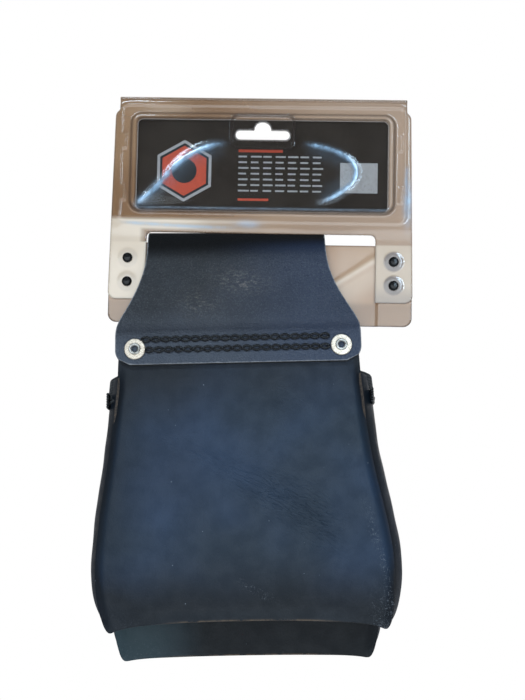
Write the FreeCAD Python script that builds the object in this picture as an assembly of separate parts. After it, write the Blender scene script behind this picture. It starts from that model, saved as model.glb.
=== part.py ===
import FreeCAD, Part
import math
import os
from collections import namedtuple

# Electrician's leather tool pouch: a folded belt loop, a main bag with a lower front bag
# stepped out of it, and the clear clamshell hanger that is still threaded through the loop.
# Origin: centre of the belt tunnel. -Y faces the wearer, +X is to the right of someone who
# looks at the wearer's side, +Z is up. Millimetres.

V = FreeCAD.Vector
X_AXIS, Y_AXIS, Z_AXIS = V(1, 0, 0), V(0, 1, 0), V(0, 0, 1)

# ---------------------------------------------------------------- driving dimensions
# Belt loop: one strap of harness leather, folded at the top
LOOP_THICK = 4.0
TUNNEL_GAP = 9.4
LOOP_TOP_Z = 35.2
LOOP_TOP_HALF = 51.6
LOOP_WAIST_HALF = 53.3
LOOP_WAIST_Z = 14.0
LOOP_HIP_HALF = 64.0
LOOP_HIP_Z = -11.0
LOOP_BASE_HALF = 71.0
LOOP_BASE_Z = -26.0
LOOP_END_Z = -43.3
LOOP_CORNER_R = 8.5
LOOP_BEND_TOP_Z = -18.0
LOOP_BEND_END_Z = -27.0
LOOP_FOLD_CANT = 1.4
LOOP_TOP_FLARE = 0.04
LOOP_BASE_FLARE = 0.12

# Leathers of the bags
PANEL_THICK = 3.0
SHELL_THICK = 3.0
BAND_THICK = 2.4
STRIP_THICK = 2.5

# Rear panel, which carries the main bag. Seen from the wearer's side its low right corner is
# pulled further out than the left one.
PANEL_TOP_Z = -25.0
PANEL_TOP_HALF = LOOP_BASE_HALF - 1.7
PANEL_NECK_HALF = PANEL_TOP_HALF + 1.3
PANEL_NECK_Z = -52.0
PANEL_HIP_HALF = 76.7
PANEL_HIP_Z = -105.0
PANEL_BELLY_LEFT = 82.4
PANEL_BELLY_RIGHT = 85.4
PANEL_BELLY_Z = -160.0
PANEL_CORNER_LEFT = 73.2
PANEL_CORNER_RIGHT = 79.0
PANEL_CORNER_Z = -193.0
PANEL_ARCH = 6.4

# Main bag
MAIN_DEPTH = 44.0
MAIN_MOUTH_Z = -49.5
MAIN_MOUTH_FALL = 10.0
MAIN_FRONT_ROUND = 13.0
MAIN_BULGE_LEFT = 5.0
MAIN_BULGE_RIGHT = 6.0

# Front bag, on its own back panel
FRONT_TOP_Z = -104.0
FRONT_TOP_HALF = 62.0
FRONT_NECK_HALF = 64.5
FRONT_NECK_Z = -122.0
FRONT_HIP_HALF = 70.5
FRONT_HIP_Z = -152.0
FRONT_BELLY_HALF = 80.5
FRONT_BELLY_Z = -192.0
FRONT_CORNER_HALF = 73.5
FRONT_CORNER_Z = -218.5
FRONT_ARCH = 3.0
FRONT_DEPTH = 34.0
FRONT_MOUTH_Z = -116.0
FRONT_MOUTH_FALL = 9.0
FRONT_FRONT_ROUND = 12.0
FRONT_BULGE = 3.2

# Both bags. The heel is the curve from the widest point to the low corner, and the hem the
# arched edge between the corners; their shapes are shares of the heel's height, of the hem's
# half width and of its arch. The corners take only a share of the sides' bulge.
CORNER_BULGE = 0.3
LOW_BULGE = 0.6
SEAM_INSET = 0.8
HEEL_PULL = 0.55
HEEL_LEAN = 0.16
HEEL_LIFT = 0.12
HEM_STEP = 0.07
HEM_RISE = 0.7
HEM_PULL = 0.6
WALL_STEPS = (0.0, 0.3, 0.65, 1.0)
ROUND_STEPS = (35, 65, 90)
BAND_HEIGHT = 14.0
BAND_GAP = 0.05
FAN_Z = 250.0
FAN_REF_Z = -165.0

# Thread tacks at the lower corners of the main mouth band
TACK_RADIUS = 1.5
TACK_TURNS = 3
TACK_PITCH = 3.1
TACK_LENGTH = 8.0
TACK_LOW_Z = -66.0
TACK_SEAT = 0.6

# Row of tool loops on the front of the main bag
TOOL_LOOPS = 4
TOOL_PITCH = 27.5
TOOL_INNER_WIDE = 14.0
TOOL_INNER_DEEP = 11.0
TOOL_STRIP_TOP_Z = -77.0
TOOL_STRIP_HIGH = 23.0
TOOL_STRIP_TAIL = 5.0

# Patch pocket on the front of the front bag
POCKET_HALF = 32.0
POCKET_TOP_Z = -147.0
POCKET_HIGH = 50.0
POCKET_DEEP = 14.0
POCKET_CORNER_R = 12.0
POCKET_FACE_ROUND = 4.0
POCKET_LIP = 9.0

# Tubular rivets with washers through the foot of the belt loop
RIVET_X = LOOP_BASE_HALF - 11.5
RIVET_Z = -34.2
POST_RADIUS = 2.6
POST_BORE = 1.9
POST_BORE_DEEP = 5.0
POST_FLARE_RADIUS = 3.45
POST_FLARE_HIGH = 0.9
POST_ROLL = 0.45
WASHER_RADIUS = 6.1
WASHER_THICK = 1.0
WASHER_EASE = 0.35
HEAD_RADIUS = 5.2
HEAD_HIGH = 1.7
HOLE_CLEAR = 0.1

# Small solid rivets of the bags
SMALL_POST_RADIUS = 1.5
SMALL_HEAD_RADIUS = 3.9
SMALL_HEAD_HIGH = 1.4
SMALL_BURR_RADIUS = 3.1
SMALL_BURR_HIGH = 0.8
BAG_RIVET_X = 55.0
BAG_RIVET_DROP = 6.5

# Clamshell hanger of clear sheet
SHEET_THICK = 0.45
SHEET_GAP = 0.1
HANGER_TOP_HALF = 84.9
HANGER_SHOULDER_HALF = HANGER_TOP_HALF + 2.5
HANGER_SHOULDER_Z = 103.5
HANGER_HALF = HANGER_TOP_HALF + 4.3
HANGER_TOP_Z = 113.2
HANGER_CORNER_R = 5.0
HANGER_SHOULDER_R = 1.0
WINDOW_HALF = 67.2
WINDOW_TOP_Z = 34.0
WINDOW_CORNER_R = 3.0
ARM_END_Z = -6.6

# Strap of the hanger, behind both arms
STRAP_TOP_Z = 27.3
STRAP_END_Z = -20.3
STRAP_HALF = HANGER_HALF - 0.3
STRAP_JOGGLE = 1.3
STRAP_JOGGLE_WIDE = 3.0

# Card tray and hang slot
TRAY_HALF = 78.4
TRAY_LOW_Z = 45.0
TRAY_HIGH_Z = 104.8
TRAY_CORNER_R = 7.0
TRAY_RISE = 3.4
TRAY_DRAFT = 1.6
TRAY_EDGE_R = 1.5
SLOT_FRAME_HALF = 17.8
SLOT_FRAME_LOW_Z = 84.2
SLOT_FRAME_HIGH_Z = 102.9
SLOT_FRAME_R = 4.0
SLOT_WIDE = 32.0
SLOT_LOW_Z = 89.0
SLOT_HIGH = 5.7
SLOT_END_R = 2.8
SLOT_BUMP_R = 5.0

CARD_HALF = 73.9
CARD_LOW_Z = 46.6
CARD_HIGH_Z = 100.7
CARD_CORNER_R = 3.0
CARD_THICK = 0.45
CARD_SLOT_CLEAR = 0.6
CARD_PLAY = 0.05

# Press studs of the hanger, in the middle of each arm
STUD_X = (WINDOW_HALF + HANGER_HALF) / 2 - 0.2
STUD_HIGH_Z = 17.7
STUD_LOW_Z = 3.7
STUD_SHANK_RADIUS = 1.7
STUD_HEAD_RADIUS = 2.95
STUD_HEAD_HIGH = 1.5
STUD_TAIL = 1.4
STUD_EASE = 0.4
BOSS_RADIUS = 6.1
BOSS_TOP_RADIUS = 4.6
BOSS_RISE = 0.5

# How the hanger lies in the belt loop
HANGER_SHIFT_X = 13.0
HANGER_REAR_Y = -1.84
HANGER_CANT = 2.4
HANGER_LEAN = 6.5

# ---------------------------------------------------------------- shared helpers
PANEL_REAR_Y = -PANEL_THICK / 2
PANEL_FRONT_Y = PANEL_THICK / 2

# Cutting tools run this far past the faces that they cut
PAST = 1.0
FAR = 400.0

# A domed head from its rim to its crown: (share of the radius, share of the height)
DOME = [(1.0, 0.0), (0.93, 0.42), (0.6, 0.87), (0.0, 1.0)]

BagOutline = namedtuple(
    "BagOutline",
    "top_z top_half neck_z neck_half hip_z hip_half belly_z belly_left belly_right "
    "corner_z corner_left corner_right arch bulge_left bulge_right")

MAIN_OUTLINE = BagOutline(
    PANEL_TOP_Z, PANEL_TOP_HALF, PANEL_NECK_Z, PANEL_NECK_HALF, PANEL_HIP_Z, PANEL_HIP_HALF,
    PANEL_BELLY_Z, PANEL_BELLY_LEFT, PANEL_BELLY_RIGHT, PANEL_CORNER_Z, PANEL_CORNER_LEFT,
    PANEL_CORNER_RIGHT, PANEL_ARCH, MAIN_BULGE_LEFT, MAIN_BULGE_RIGHT)

FRONT_OUTLINE = BagOutline(
    FRONT_TOP_Z, FRONT_TOP_HALF, FRONT_NECK_Z, FRONT_NECK_HALF, FRONT_HIP_Z, FRONT_HIP_HALF,
    FRONT_BELLY_Z, FRONT_BELLY_HALF, FRONT_BELLY_HALF, FRONT_CORNER_Z, FRONT_CORNER_HALF,
    FRONT_CORNER_HALF, FRONT_ARCH, FRONT_BULGE, FRONT_BULGE)


def save(name, shape):
    """Write one sub-part."""
    shape.exportStep("parts/" + name + ".step")


def spline(points, start=None, end=None):
    """A smooth edge through points, with chosen end directions."""
    curve = Part.BSplineCurve()
    if start is None:
        curve.interpolate(points)
    else:
        curve.interpolate(Points=points, InitialTangent=start, FinalTangent=end)
    return curve.toShape()


def mirrored(edges):
    """The same edges on the other side of the middle plane."""
    return [edge.mirror(V(0, 0, 0), X_AXIS) for edge in edges]


def slab(wire, y_from, y_to):
    """A flat wire in the XZ plane, made solid between two depths."""
    face = Part.Face(wire)
    face.translate(V(0, y_from, 0))
    return face.extrude(V(0, y_to - y_from, 0))


def rounded_rect(half, low_z, high_z, radius, low_radius=None):
    """Rounded rectangle in the XZ plane, symmetric about the middle plane."""
    low_r = radius if low_radius is None else low_radius
    c = math.cos(math.pi / 4)
    edges = [
        Part.makeLine(V(-half + low_r, 0, low_z), V(half - low_r, 0, low_z)),
        Part.Arc(V(half - low_r, 0, low_z), V(half - low_r + low_r * c, 0, low_z + low_r - low_r * c),
                 V(half, 0, low_z + low_r)).toShape(),
        Part.makeLine(V(half, 0, low_z + low_r), V(half, 0, high_z - radius)),
        Part.Arc(V(half, 0, high_z - radius), V(half - radius + radius * c, 0, high_z - radius + radius * c),
                 V(half - radius, 0, high_z)).toShape(),
        Part.makeLine(V(half - radius, 0, high_z), V(-half + radius, 0, high_z)),
        Part.Arc(V(-half + radius, 0, high_z),
                 V(-half + radius - radius * c, 0, high_z - radius + radius * c),
                 V(-half, 0, high_z - radius)).toShape(),
        Part.makeLine(V(-half, 0, high_z - radius), V(-half, 0, low_z + low_r)),
        Part.Arc(V(-half, 0, low_z + low_r), V(-half + low_r - low_r * c, 0, low_z + low_r - low_r * c),
                 V(-half + low_r, 0, low_z)).toShape(),
    ]
    return Part.Wire(edges)


def dome(radius, high, base, way):
    """Profile of a domed head from its rim at y = base to its crown, rising along way (1 or -1)."""
    return [(radius * wide, base + way * high * rise) for wide, rise in DOME]


def turned(points):
    """Solid of revolution about +Y from (radius, y) points."""
    corners = [V(radius, y, 0) for radius, y in points]
    return Part.Face(Part.makePolygon(corners + corners[:1])).revolve(V(0, 0, 0), Y_AXIS, 360)


def placed(shape, x, y, z):
    """A copy of shape, moved."""
    copy = shape.copy()
    copy.translate(V(x, y, z))
    return copy


def drill(radius, x, z, y_from, y_to):
    """A cylinder along Y, used as a hole or a shank."""
    return Part.makeCylinder(radius, y_to - y_from, V(x, y_from, z), Y_AXIS)


# ---------------------------------------------------------------- belt loop
def loop_section(x):
    """The loop's cut section in the plane at x: two legs that meet over a round fold.

    From the fold down each leg runs straight, steps in by two tangent arcs, and ends in the
    stitched foot. The fold follows the hanger strap that it hangs on, so its height changes with x.
    """
    tunnel_y = (TUNNEL_GAP + LOOP_THICK) / 2
    foot_y = (PANEL_THICK + LOOP_THICK) / 2
    drop = LOOP_BEND_TOP_Z - LOOP_BEND_END_Z
    turn = 2 * math.atan2(tunnel_y - foot_y, drop)
    bend_r = drop / (2 * math.sin(turn))
    top_z = LOOP_TOP_Z - x * math.tan(math.radians(LOOP_FOLD_CANT))
    fold_z = top_z - LOOP_THICK - TUNNEL_GAP / 2

    def leg(offset, side):
        def at(y, z):
            return V(x, side * y, z)

        def around(centre_y, centre_z, radius, angle):
            return at(centre_y + radius * math.cos(angle), centre_z + radius * math.sin(angle))

        upper = (tunnel_y - bend_r, LOOP_BEND_TOP_Z, bend_r + offset)
        lower = (foot_y + bend_r, LOOP_BEND_END_Z, bend_r - offset)
        meet = around(*upper, -turn)
        return [
            Part.makeLine(at(tunnel_y + offset, fold_z), at(tunnel_y + offset, LOOP_BEND_TOP_Z)),
            Part.Arc(at(tunnel_y + offset, LOOP_BEND_TOP_Z), around(*upper, -turn / 2), meet).toShape(),
            Part.Arc(meet, around(*lower, math.pi - turn / 2),
                     at(foot_y + offset, LOOP_BEND_END_Z)).toShape(),
            Part.makeLine(at(foot_y + offset, LOOP_BEND_END_Z), at(foot_y + offset, LOOP_END_Z)),
        ]

    edges = []
    for offset in (LOOP_THICK / 2, -LOOP_THICK / 2):
        fold_r = tunnel_y + offset
        edges += leg(offset, -1) + leg(offset, 1)
        crown = V(x, 0, fold_z + fold_r)
        edges.append(Part.Arc(V(x, -fold_r, fold_z), crown, V(x, fold_r, fold_z)).toShape())
    for side in (-1, 1):
        edges.append(Part.makeLine(V(x, side * (foot_y - LOOP_THICK / 2), LOOP_END_Z),
                                   V(x, side * (foot_y + LOOP_THICK / 2), LOOP_END_Z)))
    return Part.Wire(Part.__sortEdges__(edges))


def loop_outline():
    """The loop seen from the wearer's side: waisted at the top, flared to a wide foot."""
    r = LOOP_CORNER_R
    c = math.cos(math.pi / 4)
    end = LOOP_END_Z
    over = LOOP_TOP_Z + LOOP_THICK
    right = [
        Part.makeLine(V(LOOP_TOP_HALF, 0, over), V(LOOP_TOP_HALF, 0, LOOP_TOP_Z)),
        spline([V(LOOP_TOP_HALF, 0, LOOP_TOP_Z), V(LOOP_WAIST_HALF, 0, LOOP_WAIST_Z),
                V(LOOP_HIP_HALF, 0, LOOP_HIP_Z), V(LOOP_BASE_HALF, 0, LOOP_BASE_Z)],
               V(LOOP_TOP_FLARE, 0, -1), V(LOOP_BASE_FLARE, 0, -1)),
        Part.makeLine(V(LOOP_BASE_HALF, 0, LOOP_BASE_Z), V(LOOP_BASE_HALF, 0, end + r)),
        Part.Arc(V(LOOP_BASE_HALF, 0, end + r),
                 V(LOOP_BASE_HALF - r + r * c, 0, end + r - r * c),
                 V(LOOP_BASE_HALF - r, 0, end)).toShape(),
    ]
    across = [
        Part.makeLine(V(-LOOP_BASE_HALF + r, 0, end), V(LOOP_BASE_HALF - r, 0, end)),
        Part.makeLine(V(-LOOP_TOP_HALF, 0, over), V(LOOP_TOP_HALF, 0, over)),
    ]
    return Part.Wire(Part.__sortEdges__(right + mirrored(right) + across))


def make_belt_loop():
    """Folded strap with the two rivet holes through both legs."""
    past = LOOP_BASE_HALF + LOOP_THICK
    strap = Part.makeLoft([loop_section(-past), loop_section(past)], True, True)
    reach = TUNNEL_GAP + LOOP_THICK
    loop = strap.common(slab(loop_outline(), -reach, reach))
    for side in (-1, 1):
        loop = loop.cut(drill(POST_RADIUS + HOLE_CLEAR, side * RIVET_X, RIVET_Z, -reach, reach))
    return loop


# ---------------------------------------------------------------- bags
def fan(shape, depth, base_y):
    """Swing a shape drawn on the plane y = base_y so that it stands depth further forward.

    All the layers of a bag lean out from one far line above it, so the bag is deeper below.
    """
    angle = math.degrees(math.atan2(depth, FAN_Z - FAN_REF_Z))
    copy = shape.copy()
    copy.rotate(V(0, base_y, FAN_Z), X_AXIS, angle)
    return copy


def bag_half(outline, side, swell, fall, dip, y):
    """Half of a bag layer's outline: flaring side, heel round to the low corner, half of the arched hem.

    swell is the share of the side's bulge, fall draws the whole half in, and dip lowers the hem.
    """
    o = outline
    belly, corner, bulge = ((o.belly_right, o.corner_right, o.bulge_right) if side > 0
                            else (o.belly_left, o.corner_left, o.bulge_left))
    grow = bulge * swell - fall

    def at(half, z):
        return V(side * half, y, z)

    flank = [at(o.top_half + grow, o.top_z), at(o.neck_half + grow, o.neck_z),
             at(o.hip_half + grow, o.hip_z), at(belly + grow, o.belly_z)]
    foot = corner + bulge * swell * CORNER_BULGE - fall
    low = o.corner_z - dip
    high = o.belly_z - o.corner_z
    heel = Part.BezierCurve()
    heel.setPoles([at(belly + grow, o.belly_z), at(belly + grow, o.belly_z - high * HEEL_PULL),
                   at(foot + high * HEEL_LEAN, low + high * HEEL_LIFT), at(foot, low)])
    hem = Part.BezierCurve()
    hem.setPoles([at(foot, low), at(foot * (1 - HEM_STEP), low + o.arch * HEM_RISE),
                  at(foot * HEM_PULL, low + o.arch), at(0, low + o.arch)])
    return [spline(flank, V(0, 0, -1), V(0, 0, -1)), heel.toShape(), hem.toShape()]


def bag_wire(outline, swell, fall, dip, y):
    """Closed outline of a bag layer in the XZ plane."""
    halves = [bag_half(outline, side, swell, fall, dip, y) for side in (-1, 1)]
    left_top, right_top = [half[0].Vertexes[0].Point for half in halves]
    return Part.Wire(Part.__sortEdges__(halves[0] + halves[1] + [Part.makeLine(left_top, right_top)]))


def bag_body(outline, depth, front_round, inset, base_y):
    """Closed soft body: sides that bulge past the seam, then round over to a flat front."""
    front = depth - inset
    round_r = front_round - inset
    side_depth = front - round_r
    layers = []
    for part in WALL_STEPS:
        swell = math.sin(math.pi * part)
        seam = SEAM_INSET * (1 - part)
        layers.append((side_depth * part, swell, seam, LOW_BULGE * swell - seam))
    for degrees in ROUND_STEPS:
        turn = math.radians(degrees)
        fall = round_r * (1 - math.cos(turn))
        layers.append((side_depth + round_r * math.sin(turn), 0.0, fall, -fall))
    wires = [fan(bag_wire(outline, swell, fall + inset, dip - inset, base_y), y, base_y)
             for y, swell, fall, dip in layers]
    return Part.makeLoft(wires, True, False)


def mouth_block(mouth_z, mouth_fall, depth, base_y, drop):
    """Everything above a bag's slanted mouth, lowered by drop."""
    behind, before = -depth, 3 * depth
    corners = [(behind, mouth_z - drop - mouth_fall * behind / depth),
               (before, mouth_z - drop - mouth_fall * before / depth), (before, FAR), (behind, FAR)]
    face = Part.Face(Part.makePolygon([V(-FAR, base_y + y, z) for y, z in corners + corners[:1]]))
    return face.extrude(V(2 * FAR, 0, 0))


def make_shell(outline, depth, front_round, mouth_z, mouth_fall, base_y):
    """Bag shell: open at the back, where the panel closes it, and at the mouth."""
    outer = bag_body(outline, depth, front_round, 0.0, base_y)
    inner = bag_body(outline, depth, front_round, SHELL_THICK, base_y)
    return outer.cut(inner).cut(mouth_block(mouth_z, mouth_fall, depth, base_y, 0.0))


def make_band(outline, depth, front_round, mouth_z, mouth_fall, base_y):
    """Reinforcing band round the outside of a bag's mouth."""
    outer = bag_body(outline, depth, front_round, -BAND_THICK - BAND_GAP, base_y)
    inner = bag_body(outline, depth, front_round, -BAND_GAP, base_y)
    top = mouth_block(mouth_z, mouth_fall, depth, base_y, 0.0)
    low = mouth_block(mouth_z, mouth_fall, depth, base_y, BAND_HEIGHT)
    return outer.cut(inner).cut(top).common(low)


def make_back_panel(outline, base_y):
    """Flat panel that a bag shell is sewn to."""
    return slab(bag_wire(outline, 0, 0, 0, 0), base_y, base_y + PANEL_THICK)


def side_x(outline, side, z):
    """Half width of a bag panel on one side at one height."""
    edge = bag_half(outline, side, 0, 0, 0, 0)[0]
    level = Part.makeLine(V(0, 0, z), V(side * FAR, 0, z))
    return side * edge.distToShape(level)[1][0][0].x


def make_tack(side):
    """Bar tack of thick thread over the lower corner of the main mouth band."""
    turns = []
    for i in range(TACK_TURNS):
        z = TACK_LOW_Z + i * TACK_PITCH
        bulge = MAIN_BULGE_RIGHT if side > 0 else MAIN_BULGE_LEFT
        x = side * (side_x(MAIN_OUTLINE, side, z) + bulge * TACK_SEAT + BAND_THICK)
        y_from = PANEL_FRONT_Y + TACK_RADIUS
        bar = drill(TACK_RADIUS, x, z, y_from, y_from + TACK_LENGTH)
        for y in (y_from, y_from + TACK_LENGTH):
            bar = bar.fuse(Part.makeSphere(TACK_RADIUS, V(x, y, z)))
        turns.append(bar)
    tack = turns[0].fuse(turns[1:])
    seat = bag_body(MAIN_OUTLINE, MAIN_DEPTH, MAIN_FRONT_ROUND, -BAND_THICK - 2 * BAND_GAP, PANEL_FRONT_Y)
    return tack.cut(seat)


# ---------------------------------------------------------------- fittings on the bag fronts
def make_tool_strip():
    """Strip riveted down between its loops, which stand out as half ovals."""
    base = PANEL_FRONT_Y
    low = TOOL_STRIP_TOP_Z - TOOL_STRIP_HIGH
    half = TOOL_LOOPS * TOOL_PITCH / 2 + TOOL_STRIP_TAIL
    strip = Part.makeBox(2 * half, STRIP_THICK, TOOL_STRIP_HIGH, V(-half, base, low))
    loops = []
    holes = []
    for x in tool_loop_centres():
        for wide, deep, group in ((TOOL_INNER_WIDE / 2 + STRIP_THICK, TOOL_INNER_DEEP + STRIP_THICK, loops),
                                  (TOOL_INNER_WIDE / 2, TOOL_INNER_DEEP, holes)):
            long, short = max(wide, deep), min(wide, deep)
            oval = Part.Ellipse(V(0, 0, 0), long, short).toShape()
            oval.rotate(V(0, 0, 0), Z_AXIS, 90 if deep > wide else 0)
            column = Part.Face(Part.Wire(oval)).extrude(V(0, 0, TOOL_STRIP_HIGH))
            column.translate(V(x, base, low))
            group.append(column)
    strip = strip.fuse(loops).cut(holes)
    behind = Part.makeBox(4 * half, 4 * TOOL_INNER_DEEP, 3 * TOOL_STRIP_HIGH,
                          V(-2 * half, base - 4 * TOOL_INNER_DEEP, low - TOOL_STRIP_HIGH))
    return strip.cut(behind).removeSplitter()


def tool_loop_centres():
    """Middle of each tool loop."""
    first = -(TOOL_LOOPS - 1) * TOOL_PITCH / 2
    return [first + i * TOOL_PITCH for i in range(TOOL_LOOPS)]


def tool_rivet_places():
    """Rivets stand between the loops and at both ends of the strip."""
    z = TOOL_STRIP_TOP_Z - TOOL_STRIP_HIGH / 2
    return [(x - TOOL_PITCH / 2, z) for x in tool_loop_centres()] + [(TOOL_LOOPS * TOOL_PITCH / 2, z)]


def make_pocket():
    """Patch pocket: a low box of leather, open at the top and where it lies on the bag."""
    base = PANEL_FRONT_Y + PANEL_THICK
    low = POCKET_TOP_Z - POCKET_HIGH
    outer = slab(rounded_rect(POCKET_HALF, low, POCKET_TOP_Z + POCKET_LIP, POCKET_FACE_ROUND,
                              POCKET_CORNER_R), base, base + POCKET_DEEP)
    face_edges = [edge for edge in outer.Edges
                  if min(vertex.Point.y for vertex in edge.Vertexes) > base + POCKET_DEEP - HOLE_CLEAR]
    outer = outer.makeFillet(POCKET_FACE_ROUND, face_edges)
    wall = SHELL_THICK
    inner = slab(rounded_rect(POCKET_HALF - wall, low + wall, POCKET_TOP_Z + 2 * POCKET_LIP,
                              POCKET_FACE_ROUND, POCKET_CORNER_R - wall), base, base + POCKET_DEEP - wall)
    top = Part.makeBox(4 * POCKET_HALF, 4 * POCKET_DEEP, POCKET_HIGH,
                       V(-2 * POCKET_HALF, base - POCKET_DEEP, POCKET_TOP_Z))
    return outer.cut(inner).cut(top)


# ---------------------------------------------------------------- rivets
def small_rivet(grip):
    """Solid rivet along +Y from its burr (behind y = 0) to its domed head past the grip."""
    burr = dome(SMALL_BURR_RADIUS, SMALL_BURR_HIGH, 0.0, -1)
    head = dome(SMALL_HEAD_RADIUS, SMALL_HEAD_HIGH, grip, 1)
    return turned(burr[::-1] + [(SMALL_POST_RADIUS, 0), (SMALL_POST_RADIUS, grip)] + head)


def rivet_group(places, grip, rear_y):
    """Equal rivets at (x, z) places, as one group of solids."""
    rivet = small_rivet(grip)
    return Part.makeCompound([placed(rivet, x, rear_y, z) for x, z in places])


def rivet_holes(places, y_from, y_to):
    """The holes for a group of small rivets."""
    return [drill(SMALL_POST_RADIUS + HOLE_CLEAR, x, z, y_from, y_to) for x, z in places]


def make_belt_post():
    """Tubular rivet: domed head in front, rolled open end on the wearer's side."""
    front = PANEL_FRONT_Y + LOOP_THICK
    rear = PANEL_REAR_Y - LOOP_THICK - WASHER_THICK
    tip = rear - POST_FLARE_HIGH
    flare, bore, roll = POST_FLARE_RADIUS, POST_BORE, POST_ROLL
    shank = [(POST_RADIUS, front), (POST_RADIUS, rear)]
    rolled = [(flare, rear), (flare, tip + roll), (flare - roll, tip), (bore + roll, tip), (bore, tip + roll)]
    hollow = [(bore, tip + POST_BORE_DEEP), (0, tip + POST_BORE_DEEP)]
    return turned(dome(HEAD_RADIUS, HEAD_HIGH, front, 1)[::-1] + shank + rolled + hollow)


def make_belt_washer():
    """Flat washer with an eased rim under the rolled end."""
    front = PANEL_REAR_Y - LOOP_THICK
    rear = front - WASHER_THICK
    hole = POST_RADIUS + HOLE_CLEAR
    return turned([(hole, front), (WASHER_RADIUS, front), (WASHER_RADIUS, rear + WASHER_EASE),
                   (WASHER_RADIUS - WASHER_EASE, rear), (hole, rear)])


# ---------------------------------------------------------------- hanger
COVER_REAR_Y = -SHEET_THICK - SHEET_GAP
COVER_FRONT_Y = COVER_REAR_Y - SHEET_THICK


def hang(shape):
    """Turn a hanger part, drawn upright with its rear face on y = 0, to how it lies in the loop."""
    copy = shape.copy()
    copy.rotate(V(0, 0, 0), X_AXIS, HANGER_LEAN)
    copy.rotate(V(0, 0, 0), Y_AXIS, HANGER_CANT)
    copy.translate(V(HANGER_SHIFT_X, HANGER_REAR_Y, 0))
    return copy


def stud_places():
    """Press studs: two at each end of the strap."""
    return {
        "upper_left": (-STUD_X, STUD_HIGH_Z),
        "lower_left": (-STUD_X, STUD_LOW_Z),
        "upper_right": (STUD_X, STUD_HIGH_Z),
        "lower_right": (STUD_X, STUD_LOW_Z),
    }


def stud_holes():
    """Clearance for the stud shanks through every sheet."""
    deep = 4 * SHEET_THICK + BOSS_RISE
    return [drill(STUD_SHANK_RADIUS + HOLE_CLEAR, x, z, -deep, deep) for x, z in stud_places().values()]


def euro_slot(grow=0.0):
    """Hang slot: a wide low slot with a round bump in the middle of its upper edge."""
    deep = 10 * SHEET_THICK + TRAY_RISE
    half = SLOT_WIDE / 2
    slot = slab(rounded_rect(half + grow, SLOT_LOW_Z - grow, SLOT_LOW_Z + SLOT_HIGH + grow,
                             SLOT_END_R + grow), -deep, deep)
    return slot.fuse(drill(SLOT_BUMP_R + grow, 0, SLOT_LOW_Z + SLOT_HIGH, -deep, deep))


def hanger_sheet(y_from):
    """One half of the clamshell: header panel with an arm down each side of the window."""
    panel = slab(rounded_rect(HANGER_HALF, ARM_END_Z, HANGER_SHOULDER_Z, HANGER_SHOULDER_R,
                              HANGER_CORNER_R), y_from, y_from + SHEET_THICK)
    corners = [(-HANGER_HALF, ARM_END_Z), (HANGER_HALF, ARM_END_Z),
               (HANGER_SHOULDER_HALF, HANGER_SHOULDER_Z), (-HANGER_SHOULDER_HALF, HANGER_SHOULDER_Z)]
    taper = Part.makePolygon([V(x, 0, z) for x, z in corners + corners[:1]])
    panel = panel.common(slab(taper, y_from - PAST, y_from + PAST))
    neck = Part.makeBox(2 * HANGER_TOP_HALF, SHEET_THICK, HANGER_TOP_Z - TRAY_LOW_Z,
                        V(-HANGER_TOP_HALF, y_from, TRAY_LOW_Z))
    window = slab(rounded_rect(WINDOW_HALF, ARM_END_Z - HANGER_HALF, WINDOW_TOP_Z, WINDOW_CORNER_R),
                  y_from - PAST, y_from + PAST)
    return panel.fuse(neck).cut(window)


def tray_block(inset, y_base, rise):
    """Raised field of the cover, with drafted walls that round over into its face."""
    def ring(y, draft):
        wire = rounded_rect(TRAY_HALF - inset - draft, TRAY_LOW_Z + inset + draft,
                            TRAY_HIGH_Z - inset - draft, TRAY_CORNER_R - draft)
        wire.translate(V(0, y, 0))
        return wire
    block = Part.makeLoft([ring(y_base, 0.0), ring(y_base - rise, TRAY_DRAFT)], True, True)
    front = [edge for edge in block.Edges
             if max(vertex.Point.y for vertex in edge.Vertexes) < y_base - rise + HOLE_CLEAR]
    return block.makeFillet(TRAY_EDGE_R - inset, front)


def slot_frame(grow, y_from, y_to):
    """The moulded well round the hang slot, between two depths."""
    return slab(rounded_rect(SLOT_FRAME_HALF + grow, SLOT_FRAME_LOW_Z - grow, SLOT_FRAME_HIGH_Z + grow,
                             SLOT_FRAME_R + grow), y_from, y_to)


def make_hanger_shell():
    """Clear clamshell, one sheet folded at the top: flat back half, cover half with a card tray."""
    back = hanger_sheet(-SHEET_THICK)
    cover = hanger_sheet(COVER_FRONT_Y)
    floor_rear_y = -SHEET_THICK - CARD_THICK - CARD_PLAY
    floor_front_y = floor_rear_y - SHEET_THICK
    skin = tray_block(0.0, COVER_FRONT_Y, TRAY_RISE).cut(slot_frame(0.0, -FAR, floor_front_y))
    hollow = tray_block(SHEET_THICK, COVER_REAR_Y, TRAY_RISE).cut(slot_frame(SHEET_THICK, -FAR, floor_rear_y))
    bosses = [Part.makeCone(BOSS_RADIUS, BOSS_TOP_RADIUS, BOSS_RISE, V(x, COVER_FRONT_Y, z), V(0, -1, 0))
              for x, z in stud_places().values()]
    cover = cover.fuse([skin] + bosses).cut(hollow)
    fold_r = -COVER_FRONT_Y / 2
    fold = Part.makeCylinder(fold_r, 2 * HANGER_TOP_HALF, V(-HANGER_TOP_HALF, -fold_r, HANGER_TOP_Z), X_AXIS)
    core = Part.makeCylinder(fold_r - SHEET_THICK, 2 * HANGER_TOP_HALF,
                             V(-HANGER_TOP_HALF, -fold_r, HANGER_TOP_Z), X_AXIS)
    below = Part.makeBox(4 * HANGER_TOP_HALF, 4 * fold_r, 4 * fold_r,
                         V(-2 * HANGER_TOP_HALF, -2 * fold_r, HANGER_TOP_Z - 4 * fold_r))
    fold = fold.cut(core).cut(below)
    return cover.fuse([back, fold]).cut([euro_slot()] + stud_holes())


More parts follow.
